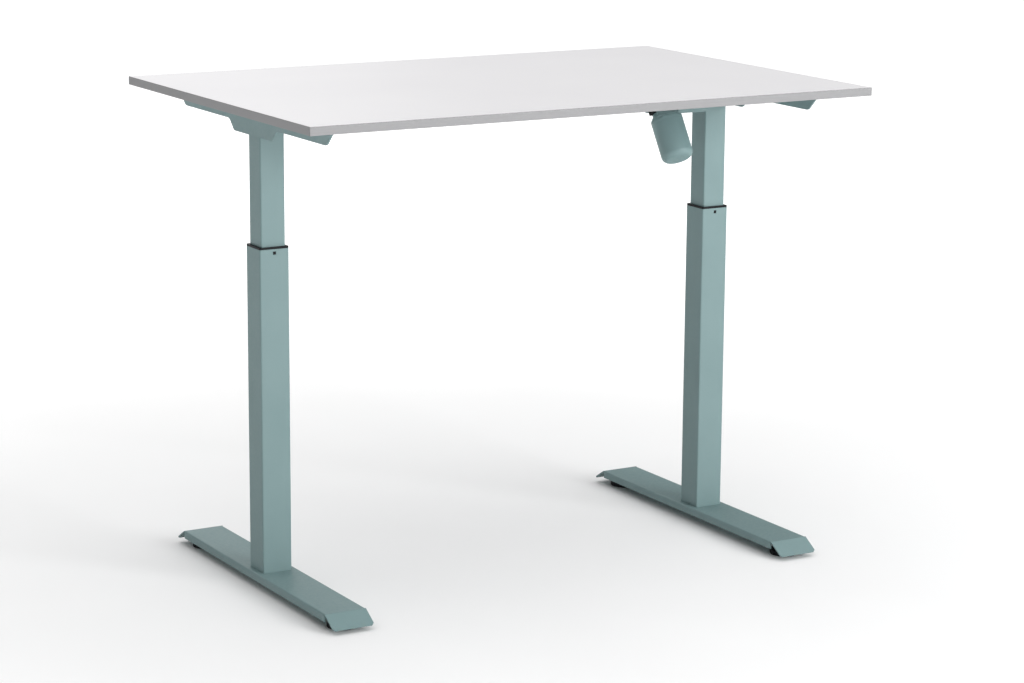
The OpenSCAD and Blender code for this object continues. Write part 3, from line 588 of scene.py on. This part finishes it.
def lifted(tree, geometry, height):
    """Geometry moved up by a socket's or a plain height."""
    made = tree.nodes.new("GeometryNodeTransform")
    tree.links.new(geometry, made.inputs["Geometry"])
    tree.links.new(vector_node(tree, 0.0, 0.0, height), made.inputs["Translation"])
    return made.outputs["Geometry"]


def given_out(tree, geometry, material, output):
    """Ends a tree: its geometry is made real, painted and given out."""
    real = tree.nodes.new("GeometryNodeRealizeInstances")
    paint = tree.nodes.new("GeometryNodeSetMaterial")
    tree.links.new(geometry, real.inputs["Geometry"])
    tree.links.new(real.outputs["Geometry"], paint.inputs["Geometry"])
    tree.links.new(material, paint.inputs["Material"])
    tree.links.new(paint.outputs["Geometry"], output)


def rounded_square(tree, width, radius):
    """A square curve with filleted corners."""
    square = add_node(tree, "GeometryNodeCurvePrimitiveQuadrilateral")
    tree.links.new(width, square.inputs["Width"])
    tree.links.new(width, square.inputs["Height"])
    fillet = tree.nodes.new("GeometryNodeFilletCurve")
    if "Mode" in fillet.inputs:
        fillet.inputs["Mode"].default_value = "Poly"
    else:
        fillet.mode = "POLY"
    fillet.inputs["Count"].default_value = ARC_STEPS
    tree.links.new(square.outputs["Curve"], fillet.inputs["Curve"])
    tree.links.new(radius, fillet.inputs["Radius"])
    return fillet.outputs["Curve"]


def square_tube_tree():
    """A standing square tube with rounded corners, and holes through its front and back walls."""
    tree, inputs, output = tree_with_inputs("square_tube", (
        ("Width", "Float"), ("Wall", "Float"), ("Height", "Float"), ("Corner Radius", "Float"),
        ("Hole Width", "Float"), ("Hole Height", "Float"), ("Material", "Material")))
    bore = math_node(tree, "SUBTRACT", inputs["Width"], math_node(tree, "MULTIPLY", inputs["Wall"], 2.0))
    bore_r = math_node(tree, "SUBTRACT", inputs["Corner Radius"],
                       math_node(tree, "MULTIPLY", inputs["Wall"], 0.75))
    both = tree.nodes.new("GeometryNodeJoinGeometry")
    tree.links.new(rounded_square(tree, inputs["Width"], inputs["Corner Radius"]), both.inputs[0])
    tree.links.new(rounded_square(tree, bore, bore_r), both.inputs[0])
    fill = tree.nodes.new("GeometryNodeFillCurve")
    tree.links.new(both.outputs[0], fill.inputs["Curve"])
    lift = tree.nodes.new("GeometryNodeExtrudeMesh")
    lift.inputs["Individual"].default_value = False
    tree.links.new(fill.outputs["Mesh"], lift.inputs["Mesh"])
    tree.links.new(vector_node(tree, 0.0, 0.0, inputs["Height"]), lift.inputs["Offset"])
    closed = tree.nodes.new("GeometryNodeJoinGeometry")
    turned = tree.nodes.new("GeometryNodeFlipFaces")
    tree.links.new(fill.outputs["Mesh"], turned.inputs["Mesh"])
    tree.links.new(lift.outputs["Mesh"], closed.inputs[0])
    tree.links.new(turned.outputs["Mesh"], closed.inputs[0])
    weld = tree.nodes.new("GeometryNodeMergeByDistance")
    weld.inputs["Distance"].default_value = 0.001 * MM
    tree.links.new(closed.outputs[0], weld.inputs["Geometry"])
    punch = tree.nodes.new("GeometryNodeMeshCube")
    tree.links.new(vector_node(tree, inputs["Hole Width"],
                               math_node(tree, "MULTIPLY", inputs["Width"], 1.2),
                               inputs["Hole Width"]), punch.inputs["Size"])
    cut = add_node(tree, "GeometryNodeMeshBoolean", operation="DIFFERENCE")
    tree.links.new(weld.outputs["Geometry"], cut.inputs["Mesh 1"])
    tree.links.new(lifted(tree, punch.outputs["Mesh"], inputs["Hole Height"]), cut.inputs["Mesh 2"])
    given_out(tree, cut.outputs["Mesh"], inputs["Material"], output)
    return tree


def grown(name, tree, start=None, **values):
    """Runs a Geometry Nodes tree on a start mesh and returns the result as a plain mesh."""
    holder = bpy.data.objects.new(name + "_source", start or bpy.data.meshes.new(name))
    scene.collection.objects.link(holder)
    growth = holder.modifiers.new("growth", "NODES")
    growth.node_group = tree
    sockets = {s.name: s.identifier for s in tree.interface.items_tree if s.in_out == "INPUT"}
    for label, value in values.items():
        growth[sockets[label.replace("_", " ")]] = value
    bpy.context.view_layer.update()
    graph = bpy.context.evaluated_depsgraph_get()
    made = bpy.data.meshes.new_from_object(holder.evaluated_get(graph), depsgraph=graph)
    made.name = name
    bpy.data.objects.remove(holder)
    return made


tube_tree = square_tube_tree()
for side in ("left", "right"):
    for which, body, hole in (("outer", "base", True), ("inner", "top", False)):
        node = side + "_" + which + "_tube"
        low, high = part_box(node)
        height = high.z - low.z
        tube = grown(node, tube_tree, Width=high.x - low.x, Wall=OUTER_WALL, Height=height,
                     Corner_Radius=TUBE_CORNER, Hole_Width=LUG_HOLE,
                     Hole_Height=height - LUG_DROP if hole else -1.0, Material=coat)
        centre = (low + high) / 2
        tube = moved(shaped(node, tube, edge=0.25 * MM, least_angle=50.0), centre.x, centre.y, low.z)
        piece(side + "_" + which + "_square_tube", tube, coat, body, "powder_coated_steel", node)

# ---------------------------------------------------------------- collars and guides
# The collar is a black moulded guide: a rim flush with the outer tube, a skirt inside it and a
# snap lug in each square hole. A pale nylon sleeve guides the inner tube's lower end.


def merged_copy(node, merge=0.02 * MM):
    """A copy of a CAD node's mesh with its loose triangles joined into plain faces."""
    made = nodes[node].data.copy()
    made.materials.clear()
    work = bmesh.new()
    work.from_mesh(made)
    bmesh.ops.remove_doubles(work, verts=work.verts, dist=merge)
    bmesh.ops.dissolve_limit(work, angle_limit=math.radians(0.5), verts=work.verts, edges=work.edges)
    work.to_mesh(made)
    work.free()
    return made


def softened(node, edge, segments=3, least_angle=40.0):
    """A copy of a CAD node with rounded edges of a given size."""
    return shaped(node, merged_copy(node), edge=edge, segments=segments, least_angle=least_angle)


def nylon():
    """Natural nylon: waxy, slightly translucent, with faint flow lines from moulding."""
    made, tree, shader, place = surface("natural_nylon")
    flow = noise(tree, place, 60.0, 3.0, (1.0, 1.0, 0.25))
    two_tones(tree, shader, flow, (0.66, 0.64, 0.58), (0.76, 0.74, 0.69))
    shader.inputs["Subsurface Weight"].default_value = 0.15
    shader.inputs["Subsurface Radius"].default_value = (0.004, 0.003, 0.002)
    gloss(tree, shader, flow, 0.34, 0.46)
    return made


natural = nylon()
for side in ("left", "right"):
    piece(side + "_moulded_collar", softened(side + "_collar", 0.5 * MM), black, "base",
          "black_plastic", side + "_collar")
    piece(side + "_guide_sleeve", softened(side + "_lower_guide", 0.4 * MM), natural, "top",
          "pale_nylon", side + "_lower_guide")

# ---------------------------------------------------------------- lifting screws
# Inside each leg a turned trapezoidal spindle runs through a nylon nut. It hangs from a ball
# bearing in a nylon gear case at the column's head, where a pair of bevel gears drives it.


def machined_steel():
    """Bright turned steel with fine rings and a thin film of grease."""
    made, tree, shader, place = surface("machined_steel")
    two_tones(tree, shader, noise(tree, place, 90.0, 3.0), (0.44, 0.45, 0.46), (0.52, 0.53, 0.54))
    shader.inputs["Metallic"].default_value = 1.0
    gloss(tree, shader, noise(tree, place, 500.0), 0.24, 0.36)
    bump(tree, shader, noise(tree, place, 1500.0, 1.0), 0.01 * MM, 0.3)
    return made


def sintered_bronze():
    """Sintered bronze: a warm, slightly open-grained metal."""
    made, tree, shader, place = surface("sintered_bronze")
    two_tones(tree, shader, noise(tree, place, 350.0, 4.0), (0.52, 0.34, 0.15), (0.66, 0.46, 0.22))
    shader.inputs["Metallic"].default_value = 1.0
    gloss(tree, shader, noise(tree, place, 800.0), 0.34, 0.50)
    bump(tree, shader, noise(tree, place, 1600.0, 2.0), 0.03 * MM, 0.6)
    return made


def ring_mesh(name, outline, segments):
    """Turns a closed outline of (radius, height) points about Z into a ring."""
    count = len(outline)
    points = []
    for s in range(segments):
        angle = 2 * math.pi * s / segments
        points += [Vector((r * math.cos(angle), r * math.sin(angle), z)) for r, z in outline]
    faces = []
    for s in range(segments):
        here, there = s * count, (s + 1) % segments * count
        for i in range(count):
            j = (i + 1) % count
            faces.append((here + i, there + i, there + j, here + j))
    return new_mesh(name, points, faces)


def bearing_mesh(radius, bore, thick):
    """A ball bearing's outer ring, recessed seal and inner ring, as one turned ring."""
    rim = 2.2 * MM
    recess = 0.4 * MM
    steps = ((radius, 0.0), (radius - rim, 0.0), (radius - rim, recess), (bore + rim, recess),
             (bore + rim, 0.0), (bore, 0.0))
    outline = list(steps) + [(r, thick - z) for r, z in reversed(steps)]
    return ring_mesh("bearing", outline[::-1], 64)


steel = machined_steel()
bronze = sintered_bronze()
SPINDLE_PITCH = 4.0 * MM
SPINDLE_DEPTH = 1.6 * MM
JOURNAL_RADIUS = 5.0 * MM
JOURNAL_CHAMFER = 0.8 * MM
JOURNAL_OVERLAP = 1.0 * MM
for side in ("left", "right"):
    low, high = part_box(side + "_spindle")
    bearing_low, bearing_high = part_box(side + "_spindle_bearing")
    radius = (high.x - low.x) / 2
    shoulder = bearing_low.z
    thread = thread_mesh("spindle", radius, SPINDLE_DEPTH, SPINDLE_PITCH, low.z, shoulder)
    start = shoulder - JOURNAL_OVERLAP
    outline = [(0.0, start), (JOURNAL_RADIUS, start), (JOURNAL_RADIUS, high.z - JOURNAL_CHAMFER),
               (JOURNAL_RADIUS - JOURNAL_CHAMFER, high.z), (0.0, high.z)]
    journal = lathe_mesh("journal", outline, 40)
    centre = (low + high) / 2
    spindle = joined("spindle", shaped("thread", thread, edge=0.0), shaped("journal", journal, edge=0.0))
    piece(side + "_threaded_spindle", moved(spindle, centre.x, centre.y), steel, side + "_screw",
          "bare_steel", side + "_spindle")
    bearing = bearing_mesh((bearing_high.x - bearing_low.x) / 2, JOURNAL_RADIUS,
                           bearing_high.z - bearing_low.z)
    bearing = shaped("bearing", moved(bearing, centre.x, centre.y, bearing_low.z), edge=0.25 * MM)
    piece(side + "_ball_bearing", bearing, steel, "top", "bare_steel", side + "_spindle_bearing")
    for node, edge, material, body, slot in (
            ("spindle_gear", 0.1 * MM, bronze, side + "_screw", "bronze"),
            ("shaft_gear", 0.1 * MM, steel, "shaft_line", "bare_steel"),
            ("spindle_nut", 0.5 * MM, natural, "base", "pale_nylon"),
            ("nut_tube", 0.3 * MM, zinc, "base", "zinc_plated_steel"),
            ("base_block", 0.6 * MM, zinc, "base", "zinc_plated_steel"),
            ("gear_case", 0.4 * MM, natural, "top", "pale_nylon"),
            ("head_plate", 0.5 * MM, coat, "top", "powder_coated_steel")):
        piece(side + "_finished_" + node, softened(side + "_" + node, edge), material, body, slot,
              side + "_" + node)

# ---------------------------------------------------------------- cross shaft
# A drawn hexagon bar runs from leg to leg and turns both spindles. It passes through the
# gearbox in a hollow sleeve with a hexagon bore.

piece("hexagon_cross_shaft", softened("cross_shaft", 0.5 * MM), steel, "shaft_line",
      "bare_steel", "cross_shaft")
piece("hollow_drive_sleeve", softened("gearbox_sleeve", 0.5 * MM), steel, "shaft_line",
      "bare_steel", "gearbox_sleeve")

# ---------------------------------------------------------------- side brackets
# An angle of 3 mm sheet under each end of the worktop. Its flange is screwed to the board, and
# its outer web is cut at 45 degrees at the ends and hangs lower at the leg.

BRACKET_SHEET = 3.0 * MM
BRACKET_BEND = 4.2 * MM
WEB_HEIGHT = 34.0 * MM
WEB_DROP = 21.0 * MM
DROP_LENGTH = 164.0 * MM
WEB_ROUND = 14.0 * MM
FLANGE_CHAMFER = 14.0 * MM
SAME_PLACE = 0.1 * MM
LONGEST_ROUND = 0.45


def rounded_path(corners, radius):
    """A line through corners in a plane, with each inner corner rounded to a radius."""
    path = [Vector(corners[0])]
    for before, corner, after in zip(corners, corners[1:], corners[2:]):
        here = Vector(corner)
        back = (Vector(before) - here).normalized()
        on = (Vector(after) - here).normalized()
        half = back.angle(on) / 2
        shorter = min((Vector(before) - here).length, (Vector(after) - here).length)
        reach = min(radius / math.tan(half), LONGEST_ROUND * shorter)
        for step in range(ARC_STEPS + 1):
            t = step / ARC_STEPS
            path.append(here + back * reach * (1 - t) ** 2 + on * reach * t ** 2)
    path.append(Vector(corners[-1]))
    return path


def bracket_rows(low, high, outward):
    """Rows of points over a bracket's upper and outer skin, from its front end to its back."""
    outer = high.x if outward > 0 else low.x
    inner = low.x if outward > 0 else high.x
    half = (high.y - low.y) / 2
    drop = DROP_LENGTH / 2
    ends = WEB_HEIGHT - BRACKET_BEND
    corners = [(-half, BRACKET_BEND), (-half + ends, WEB_HEIGHT), (-drop - WEB_DROP, WEB_HEIGHT),
               (-drop, WEB_HEIGHT + WEB_DROP)]
    corners += [(-y, depth) for y, depth in reversed(corners)]
    stations = rounded_path(corners, WEB_ROUND)
    for y in (-half + FLANGE_CHAMFER, half - FLANGE_CHAMFER):
        nearest = min(stations, key=lambda p: abs(p[0] - y))
        if abs(nearest[0] - y) > SAME_PLACE:
            at = next(i for i, p in enumerate(stations) if p[0] > y)
            one, two = stations[at - 1], stations[at]
            share = (y - one[0]) / (two[0] - one[0])
            stations.insert(at, one.lerp(two, share))
    rows = []
    for y, depth in stations:
        cut = max(0.0, FLANGE_CHAMFER - (half - abs(y)))
        row = [Vector((inner + outward * cut, y, high.z))]
        for x, z in arc(BRACKET_BEND, 90, 0):
            row.append(Vector((outer - outward * (BRACKET_BEND - x), y, high.z - BRACKET_BEND + z)))
        row.append(Vector((outer, y, high.z - max(depth, BRACKET_BEND + 0.01 * MM))))
        rows.append(row if outward > 0 else row[::-1])
    return rows


for side, outward in (("left", -1), ("right", 1)):
    low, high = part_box(side + "_side_bracket")
    skin = sheet_mesh("bracket", bracket_rows(low, high, outward))
    piece(side + "_pressed_bracket", shaped("bracket", skin, BRACKET_SHEET, 0.5 * MM), coat,
          "top", "powder_coated_steel", side + "_side_bracket")

# ---------------------------------------------------------------- cross rails
# Two inverted channels of 2 mm sheet join the brackets across the desk, in front of the cross
# shaft and behind it. They are roll formed, so their long edges have a small bend radius.

RAIL_BEND = 3.0 * MM
RAIL_SHEET = 2.0 * MM


def rail_rows(low, high):
    """Rows of points over a rail's outer skin, from its left end to its right."""
    middle = (low.y + high.y) / 2
    half = (high.y - low.y) / 2
    bend = [(half - RAIL_BEND + y, high.z - RAIL_BEND + z) for y, z in arc(RAIL_BEND, 90, 0)]
    section = [(middle + half, low.z)] + [(middle + y, z) for y, z in reversed(bend)]
    section += [(middle - y, z) for y, z in bend] + [(middle - half, low.z)]
    return [[Vector((x, y, z)) for y, z in section] for x in (low.x, high.x)]


for node in ("front_cross_rail", "back_cross_rail"):
    skin = sheet_mesh("rail", rail_rows(*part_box(node)))
    piece("formed_" + node, shaped("rail", skin, RAIL_SHEET, 0.35 * MM), coat, "top",
          "powder_coated_steel", node)

# ---------------------------------------------------------------- gearmotor
# A bought-in gearmotor hangs from a folded carrier at the right column: a cast gearbox casing
# round the cross shaft, a neck with a conical collar, and a deep-drawn can slanting forward.

CAN_SEAM = 8.0 * MM
CAN_GROOVE = 0.5 * MM
GROOVE_MOUTH = 1.2 * MM
GROOVE_FLOOR = 0.6 * MM
CAN_CHAMFER = 0.8 * MM
CAN_ROUND = 12.0 * MM
CAN_TILT = 32.0
can_low, can_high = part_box("motor_can")


def motor_frame():
    """The can's own axes, from the middle of its upper end, and its radius."""
    tilt = math.radians(CAN_TILT)
    x = (can_low.x + can_high.x) / 2
    radius = (can_high.x - can_low.x) / 2
    top_reach = can_high.z - radius * math.sin(tilt)
    front_reach = can_high.y - radius * math.cos(tilt)
    upper = Vector((x, front_reach, top_reach))
    turn = Matrix.Rotation(-tilt, 4, "X")
    return Matrix.Translation(upper) @ turn, radius


def can_outline(radius, length):
    """Half the can's profile: a rounded lower end, a plain wall and a rolled seam near the top."""
    low_arc = [(radius - CAN_ROUND + r, CAN_ROUND + z) for r, z in arc(CAN_ROUND, -80, 0)]
    seam = length - CAN_SEAM
    wall = [(radius, seam - GROOVE_MOUTH), (radius - CAN_GROOVE, seam - GROOVE_FLOOR),
            (radius - CAN_GROOVE, seam + GROOVE_FLOOR), (radius, seam + GROOVE_MOUTH),
            (radius, length - CAN_CHAMFER), (radius - CAN_CHAMFER, length)]
    return [(0.0, 0.0)] + low_arc + wall + [(0.0, length)]


MOTOR_LENGTH = 86.0 * MM
axes, can_radius = motor_frame()
can = shaped("can", lathe_mesh("can", can_outline(can_radius, MOTOR_LENGTH), 96), edge=0.0)
can.transform(axes @ Matrix.Translation((0.0, 0.0, -MOTOR_LENGTH)))
piece("drawn_motor_can", can, coat, "top", "powder_coated_steel", "motor_can")
piece("cast_gearbox_casing", softened("gearbox_housing", 1.2 * MM, 4), coat, "top",
      "powder_coated_steel", "gearbox_housing")
piece("moulded_motor_socket", softened("motor_socket", 0.6 * MM), black, "top",
      "black_plastic", "motor_socket")
piece("folded_motor_carrier", softened("motor_carrier", 0.6 * MM), coat, "top",
      "powder_coated_steel", "motor_carrier")

# ---------------------------------------------------------------- worktop
# A 16 mm chipboard panel faced with matt white laminate, and a band of plastic glued round its edge. The
# band's mid grey colour is painted shade: its edge faces are darkened in colour, not by the light. The
# band's long edges are rounded by a scraper.


def white_laminate():
    """Matt white laminate with a faint pearl grain in the gloss and a slight drift of tone."""
    made, tree, shader, place = surface("white_laminate")
    two_tones(tree, shader, noise(tree, place, 3.0, 2.0), (0.872, 0.862, 0.878), (0.890, 0.880, 0.894))
    gloss(tree, shader, noise(tree, place, 240.0, 2.0), 0.46, 0.56)
    shader.inputs["Specular IOR Level"].default_value = 0.35
    bump(tree, shader, noise(tree, place, 700.0, 2.0), 0.02 * MM, 0.5)
    return made


def edge_band_painted_shade():
    """Extruded plastic band coloured mid grey as painted shade on its edge faces: faint lines along its
    run and a scraped sheen.
    """
    made, tree, shader, place = surface("grey_edge_band")
    lines = noise(tree, place, 260.0, 2.0, (0.05, 0.05, 4.0))
    # The two grey tones are painted shade that darkens the edge faces; the faint lines along the run are
    # the band's own.
    two_tones(tree, shader, lines, (0.232, 0.232, 0.238), (0.254, 0.254, 0.260))
    gloss(tree, shader, lines, 0.42, 0.54)
    bump(tree, shader, noise(tree, place, 1400.0, 1.0), 0.02 * MM, 0.5)
    return made


band = edge_band_painted_shade()
piece("laminated_worktop", softened("worktop", 0.15 * MM, 2), white_laminate(), "top",
      "white_laminate_board", "worktop")
for node in ("long_edge_bands", "short_edge_bands"):
    piece("scraped_" + node, softened(node, 0.9 * MM, 3), band, "top", "grey_edge_band", node)

# ---------------------------------------------------------------- screws
# Zinc plated machine screws hold the frame together, and pan head wood screws hold the worktop
# on. Each has a hexagon recess in its head and a rolled thread on its shank.

SCREW_SEGMENTS = 20
HELIX_STEPS = 12
KEY_SHARE = 0.85
KEY_BASE = 0.4
ROOT_SHARE = 0.82
RIDGE_SHARE = 0.17


def screw_tree():
    """Screws at the vertices of the start mesh, turned as asked, heads above the vertices."""
    tree, inputs, output = tree_with_inputs("screws", (
        ("Places", "Geometry"), ("Head Radius", "Float"), ("Rim Radius", "Float"),
        ("Head Height", "Float"), ("Shank Radius", "Float"), ("Length", "Float"),
        ("Pitch", "Float"), ("Turn", "Rotation"), ("Material", "Material")))
    parts = tree.nodes.new("GeometryNodeJoinGeometry")
    head = tree.nodes.new("GeometryNodeMeshCone")
    head.inputs["Vertices"].default_value = SCREW_SEGMENTS
    tree.links.new(inputs["Head Radius"], head.inputs["Radius Bottom"])
    tree.links.new(inputs["Rim Radius"], head.inputs["Radius Top"])
    tree.links.new(inputs["Head Height"], head.inputs["Depth"])
    key = tree.nodes.new("GeometryNodeMeshCone")
    key.inputs["Vertices"].default_value = 6
    key_r = math_node(tree, "MULTIPLY", inputs["Shank Radius"], KEY_SHARE)
    tree.links.new(key_r, key.inputs["Radius Bottom"])
    tree.links.new(key_r, key.inputs["Radius Top"])
    tree.links.new(inputs["Head Height"], key.inputs["Depth"])
    key_base = math_node(tree, "MULTIPLY", inputs["Head Height"], KEY_BASE)
    cut = add_node(tree, "GeometryNodeMeshBoolean", operation="DIFFERENCE")
    tree.links.new(head.outputs["Mesh"], cut.inputs["Mesh 1"])
    tree.links.new(lifted(tree, key.outputs["Mesh"], key_base), cut.inputs["Mesh 2"])
    tree.links.new(cut.outputs["Mesh"], parts.inputs[0])
    shank = tree.nodes.new("GeometryNodeMeshCylinder")
    shank.inputs["Vertices"].default_value = HELIX_STEPS
    root = math_node(tree, "MULTIPLY", inputs["Shank Radius"], ROOT_SHARE)
    tree.links.new(root, shank.inputs["Radius"])
    tree.links.new(inputs["Length"], shank.inputs["Depth"])
    half_down = math_node(tree, "MULTIPLY", inputs["Length"], -0.5)
    tree.links.new(lifted(tree, shank.outputs["Mesh"], half_down), parts.inputs[0])
    run = math_node(tree, "SUBTRACT", inputs["Length"], inputs["Pitch"])
    spiral = tree.nodes.new("GeometryNodeCurveSpiral")
    spiral.inputs["Resolution"].default_value = HELIX_STEPS
    tree.links.new(math_node(tree, "DIVIDE", run, inputs["Pitch"]), spiral.inputs["Rotations"])
    tree.links.new(root, spiral.inputs["Start Radius"])
    tree.links.new(root, spiral.inputs["End Radius"])
    tree.links.new(run, spiral.inputs["Height"])
    ridge = tree.nodes.new("GeometryNodeCurvePrimitiveCircle")
    ridge.inputs["Resolution"].default_value = 3
    tree.links.new(math_node(tree, "MULTIPLY", inputs["Shank Radius"], RIDGE_SHARE),
                   ridge.inputs["Radius"])
    sweep = tree.nodes.new("GeometryNodeCurveToMesh")
    sweep.inputs["Fill Caps"].default_value = True
    tree.links.new(spiral.outputs["Curve"], sweep.inputs["Curve"])
    tree.links.new(ridge.outputs["Curve"], sweep.inputs["Profile Curve"])
    start = math_node(tree, "MULTIPLY_ADD", inputs["Pitch"], 0.5,
                      math_node(tree, "MULTIPLY", inputs["Length"], -1.0))
    tree.links.new(lifted(tree, sweep.outputs["Mesh"], start), parts.inputs[0])
    spots = tree.nodes.new("GeometryNodeInstanceOnPoints")
    tree.links.new(inputs["Places"], spots.inputs["Points"])
    tree.links.new(parts.outputs[0], spots.inputs["Instance"])
    tree.links.new(inputs["Turn"], spots.inputs["Rotation"])
    given_out(tree, spots.outputs["Instances"], inputs["Material"], output)
    return tree


def shells(node):
    """The boxes of a CAD node's separate solids, each as its low and high corner."""
    work = bmesh.new()
    work.from_mesh(merged_copy(node))
    left = set(work.verts)
    boxes = []
    while left:
        seed = left.pop()
        group, queue = [seed], [seed]
        while queue:
            for edge in queue.pop().link_edges:
                for vert in edge.verts:
                    if vert in left:
                        left.remove(vert)
                        group.append(vert)
                        queue.append(vert)
        spots = [v.co.copy() for v in group]
        boxes.append((Vector([min(p[i] for p in spots) for i in range(3)]),
                      Vector([max(p[i] for p in spots) for i in range(3)])))
    work.free()
    return sorted(boxes, key=lambda b: tuple(round(v, 4) for v in b[0]))


screws = screw_tree()


def screw_set(name, boxes, axis, head_at_high, kind):
    """Screws of a kind in the given boxes, which are all of one size and point one way."""
    head_height, shank_radius, pitch, dome = kind
    low, high = boxes[0]
    length = high[axis] - low[axis] - head_height
    radius = (high[1] - low[1]) / 2
    seats = []
    for low, high in boxes:
        seat = (low + high) / 2
        seat[axis] = high[axis] - head_height if head_at_high else low[axis] + head_height
        seats.append(seat)
    start = bpy.data.meshes.new(name)
    start.from_pydata(seats, [], [])
    turn = {(2, True): (0.0, 0.0, 0.0), (2, False): (math.pi, 0.0, 0.0),
            (0, False): (0.0, -math.pi / 2, 0.0)}[axis, head_at_high]
    return grown(name, screws, start, Head_Radius=radius, Rim_Radius=radius * dome,
                 Head_Height=head_height, Shank_Radius=shank_radius, Length=length,
                 Pitch=pitch, Turn=turn, Material=zinc)


def sorted_screws(node):
    """A node's screws as groups of boxes that are equal to half a millimetre."""
    groups = {}
    for low, high in shells(node):
        groups.setdefault(tuple(round((h - l) * 2000) for l, h in zip(low, high)), []).append((low, high))
    return list(groups.values())


# Head height, shank radius, pitch, and the head's upper radius as a share of its lower one
M6_SCREW = (4.0 * MM, 3.0 * MM, 1.0 * MM, 0.86)
M4_SCREW = (2.5 * MM, 2.0 * MM, 0.7 * MM, 0.8)
COUNTERSUNK_SCREW = (3.0 * MM, 3.0 * MM, 1.0 * MM, 1.0)
WOOD_SCREW = (3.0 * MM, 2.5 * MM, 1.8 * MM, 0.72)
HEAD_SCREW_LONGEST = 12.0 * MM
HEAD_SCREW_NARROWEST = 11.0 * MM
for group in sorted_screws("foot_screws"):
    made = screw_set("foot_screws", group, 2, False, M6_SCREW)
    piece("threaded_foot_screws", made, zinc, "base", "zinc_plated_steel", "foot_screws")
bolt_sets = []
for group in sorted_screws("frame_bolts"):
    low, high = group[0]
    size = high - low
    if size.x > size.z:
        bolt_sets.append(screw_set("carrier_screws", group, 0, False, M4_SCREW))
    elif size.z < HEAD_SCREW_LONGEST and size.x > HEAD_SCREW_NARROWEST:
        bolt_sets.append(screw_set("head_screws", group, 2, True, COUNTERSUNK_SCREW))
    else:
        bolt_sets.append(screw_set("rail_bolts", group, 2, False, M6_SCREW))
piece("threaded_frame_bolts", joined("frame_bolts", *bolt_sets), zinc, "top",
      "zinc_plated_steel", "frame_bolts")
wood_sets = [screw_set("worktop_screws", group, 2, False, WOOD_SCREW)
             for group in sorted_screws("worktop_screws")]
piece("threaded_worktop_screws", joined("worktop_screws", *wood_sets), zinc, "top",
      "zinc_plated_steel", "worktop_screws")

# ---------------------------------------------------------------- weld nuts
# Hexagon weld nuts under the feet take the glides' studs. Their lower rims are chamfered.

piece("chamfered_glide_nuts", softened("glide_nuts", 0.5 * MM), zinc, "base",
      "zinc_plated_steel", "glide_nuts")

# ---------------------------------------------------------------- control box
# A black moulded cover with rounded edges, screwed under the worktop on a zinc plated plate,
# with the mains inlet in its back wall.

piece("control_box_moulding", softened("control_box_cover", 1.2 * MM, 4), black, "top",
      "black_plastic", "control_box_cover")
piece("control_box_base", softened("control_box_plate", 0.4 * MM), zinc, "top",
      "zinc_plated_steel", "control_box_plate")
piece("mains_inlet", softened("power_inlet", 0.3 * MM), black, "top",
      "black_plastic", "power_inlet")

# ---------------------------------------------------------------- handset
# A small black case under the front edge of the worktop, with two grey push buttons that
# carry a raised arrow each.


def button_plastic():
    """Grey moulded plastic with a fine matt grain."""
    made, tree, shader, place = surface("grey_button_plastic")
    two_tones(tree, shader, noise(tree, place, 200.0), (0.38, 0.38, 0.39), (0.42, 0.42, 0.43))
    gloss(tree, shader, noise(tree, place, 600.0), 0.40, 0.52)
    bump(tree, shader, noise(tree, place, 1900.0, 1.0), 0.02 * MM, 0.5)
    return made


ARROW_SIZE = 2.4 * MM
ARROW_RISE = 0.3 * MM
ARROW_SINK = 0.2 * MM
grey = button_plastic()
piece("handset_moulding", softened("handset_case", 0.7 * MM), black, "top",
      "black_plastic", "handset_case")
for node, body, point in (("up_button", "up_key", 1), ("down_button", "down_key", -1)):
    low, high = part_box(node)
    arrow = prism_mesh("arrow", 3, ARROW_SIZE, 0.0, ARROW_RISE + ARROW_SINK)
    middle = ((low.x + high.x) / 2, low.y + ARROW_SINK, (low.z + high.z) / 2)
    arrow.transform(Matrix.Translation(middle)
                    @ Matrix.Rotation(math.pi / 2, 4, "X")
                    @ Matrix.Rotation(point * math.pi / 2, 4, "Z"))
    keycap = joined(node, softened(node, 0.4 * MM), shaped("arrow", arrow, edge=0.1 * MM))
    piece("moulded_" + node, keycap, grey, body, "grey_button_plastic", node)

# ---------------------------------------------------------------- sizes, and the end

low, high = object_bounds()
